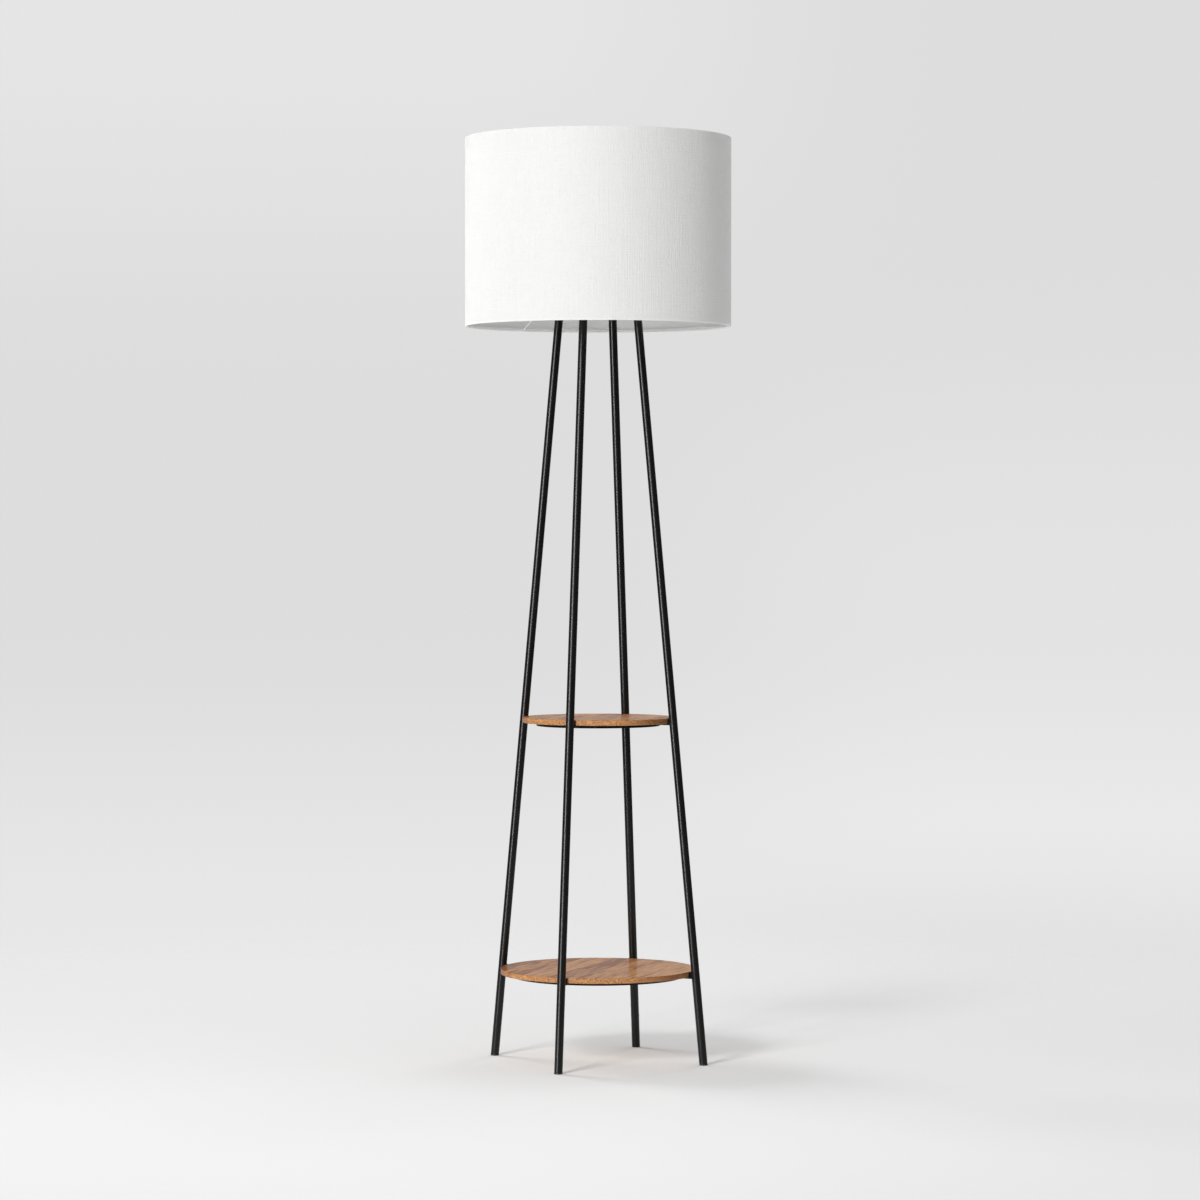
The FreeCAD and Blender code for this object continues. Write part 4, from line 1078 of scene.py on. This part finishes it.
piece("frosted_globe", [globe()], frosted_glass(), "bulb", ["bulb_globe"], crease=60)
piece("rolled_base", [screw_base()], rolled_aluminium(), "bulb", ["bulb_screw_base"])
tip_top = TIP_BOTTOM + 1.2
cone = rounded([(0, tip_top, 0), (5.5, tip_top, 0.4), (11.0, BASE_BOTTOM, 0), (0, BASE_BOTTOM, 0)])
piece("insulator_cone", [turned(cone, closed=False)], black_glass(), "bulb", ["bulb_insulator"])
tip = rounded([(0, TIP_BOTTOM, 0), (3.0, TIP_BOTTOM, 1.5), (4.5, tip_top, 0), (0, tip_top, 0)])
piece("solder_tip", [turned(tip, closed=False)], BRASS, "bulb", ["bulb_tip_contact"])

# ==== floor, light and camera =================================================
# A pale matte floor that fades into a pale backdrop, soft lamps at the front left, the back left and
# behind, a tall strip that only gloss sees, and the camera at the photograph's place. FRAME_TURN is
# the azimuth of the picture's right, in degrees.

FRAME_TURN = -24.589
GLOW, BACKDROP, ROOM = 0.463, 0.724, 0.10
BEYOND = tuple(direction(FRAME_TURN + 90)[0])
TO_THE_RIGHT = tuple(direction(FRAME_TURN)[0])


def studio():
    """The surroundings: an even glow from above, and what the camera, gloss and glass see instead of it.

    The camera sees the backdrop, which grows lighter where it meets the floor, at the top left and
    halfway up the right. Gloss sees it on the far side of the lamp only, and on the near side the
    unlit room.
    """
    world = bpy.context.scene.world = bpy.data.worlds.new("studio")
    finish = Finish(world)
    way = finish.node("ShaderNodeTexCoord", output="Generated")
    height = finish.part(way, "Z")
    away = finish.vector("DOT_PRODUCT", way, BEYOND, output=1)
    right = finish.ramp(finish.vector("DOT_PRODUCT", way, TO_THE_RIGHT, output=1), -0.03, 0.09)
    left_side = finish.ramp(height, 0.03, 0.125) * 0.062
    right_side = finish.ramp(0.07 - height, 0.0, 0.09) * 0.045 - \
        finish.ramp(0.0 - height, 0.065, 0.11) * 0.095
    backdrop = BACKDROP + finish.ramp(0.0 - height, 0.02, 0.10) * 0.077 + \
        left_side * (1.0 - right) + right_side * right
    gloss = ROOM + finish.ramp(away, 0.6, 0.95) * (BACKDROP - ROOM)
    is_gloss = finish.node("ShaderNodeLightPath", output="Is Glossy Ray")
    shown = backdrop * (1.0 - is_gloss) + gloss * is_gloss
    lit = finish.maths("GREATER_THAN", height, 0.0) * GLOW
    seen = seen_directly(finish)
    glow = finish.node("ShaderNodeBackground", None,
                       {"Color": (1, 1, 1, 1), "Strength": shown * seen + lit * (1.0 - seen)})
    finish.node("ShaderNodeOutputWorld", None, {"Surface": glow})


def seen_directly(finish):
    """1 for camera, glossy and transmission rays, and 0 for the rest."""
    seen = 0.0
    for ray in ("Is Camera Ray", "Is Glossy Ray", "Is Transmission Ray"):
        seen = finish.maths("MAXIMUM", finish.node("ShaderNodeLightPath", output=ray), seen)
    return seen


def floor():
    """A disc of rings that fades, from 0.6 to 2.6 metres off, to the backdrop, and is clear from below."""
    columns = 96
    radius = np.linspace(0, 9000, 19)[:, None]
    points = polar(radius, full_turn(columns), 0.0).reshape(-1, 3)[columns - 1:]
    middle = [[0, 1 + n, 1 + (n + 1) % columns] for n in range(columns)]
    rings = grid(len(radius) - 1, columns, close_columns=True)[:, ::-1] + 1
    mesh = bpy.data.meshes.new("floor")
    mesh.from_pydata((points * MM).tolist(), [], middle + rings.tolist())
    made = in_scene("floor", mesh)
    finish = Finish("floor_paper")
    spot = finish.node("ShaderNodeTexCoord", output="Object")
    away = finish.vector("LENGTH", spot, output=1)
    below = finish.node("ShaderNodeNewGeometry", output="Backfacing")
    fade = finish.maths("MAXIMUM", finish.ramp(away, 0.6, 2.6), below) * seen_directly(finish)
    # Painted light: the paper is lighter toward the camera (near_tone) and darker away from it (far_tone).
    depth = finish.vector("DOT_PRODUCT", spot, BEYOND, output=1)
    grain = finish.noise(finish.place(), 600.0, 2.0)
    near_tone, far_tone = (0.905, 0.905, 0.905), (0.825, 0.825, 0.825)
    tone = finish.mix(finish.ramp(depth + grain * 0.1, -1.2, 0.8), near_tone, far_tone)
    paper = finish.node("ShaderNodeBsdfDiffuse", None, {"Color": tone})
    through = finish.node("ShaderNodeBsdfTransparent")
    both = finish.node("ShaderNodeMixShader", None, {0: fade, 1: paper, 2: through})
    finish.node("ShaderNodeOutputMaterial", None, {"Surface": both})
    mesh.materials.append(finish.owner)


def soft_lamp(name, toward, height, distance, width, tall, power, aim=0.6):
    """A lamp toward degrees right of the camera and height degrees up, seen from aim metres up."""
    data = bpy.data.lights.new(name, "AREA")
    data.shape, data.size, data.size_y, data.energy = "RECTANGLE", width, tall, power
    made = in_scene(name, data)
    azimuth, rise = math.radians(FRAME_TURN - 90 + toward), math.radians(height)
    out = distance * math.cos(rise)
    made.location = (out * math.cos(azimuth), out * math.sin(azimuth), aim + distance * math.sin(rise))
    made.rotation_euler = (math.pi / 2 - rise, 0, azimuth + math.pi / 2)
    made.visible_camera = False
    return made


def camera():
    """6.66 m from the lamp's axis at 0.87 m, looking down by one degree."""
    distance, height, down, yaw = 6.6566, 0.8682, 1.0195, -0.0255
    data = bpy.data.cameras.new("camera")
    data.lens, data.sensor_width, data.clip_end = 122.85, 36.0, 60.0
    made = in_scene("camera", data)
    azimuth = math.radians(FRAME_TURN - 90)
    made.location = (distance * math.cos(azimuth), distance * math.sin(azimuth), height)
    made.rotation_euler = (math.radians(90 - down), 0, math.radians(FRAME_TURN + yaw))
    bpy.context.scene.camera = made


studio()
floor()
soft_lamp("key", -30, 28, 7.0, 1.6, 1.6, 246)
soft_lamp("side", -132, 22, 9.0, 3.5, 3.5, 389).visible_glossy = False
soft_lamp("back", 150, 28, 3.6, 1.5, 1.5, 20)
soft_lamp("strip", -40, 5, 3.0, 0.5, 2.4, 110).visible_diffuse = False
camera()
bpy.context.scene.view_settings.view_transform = "Standard"
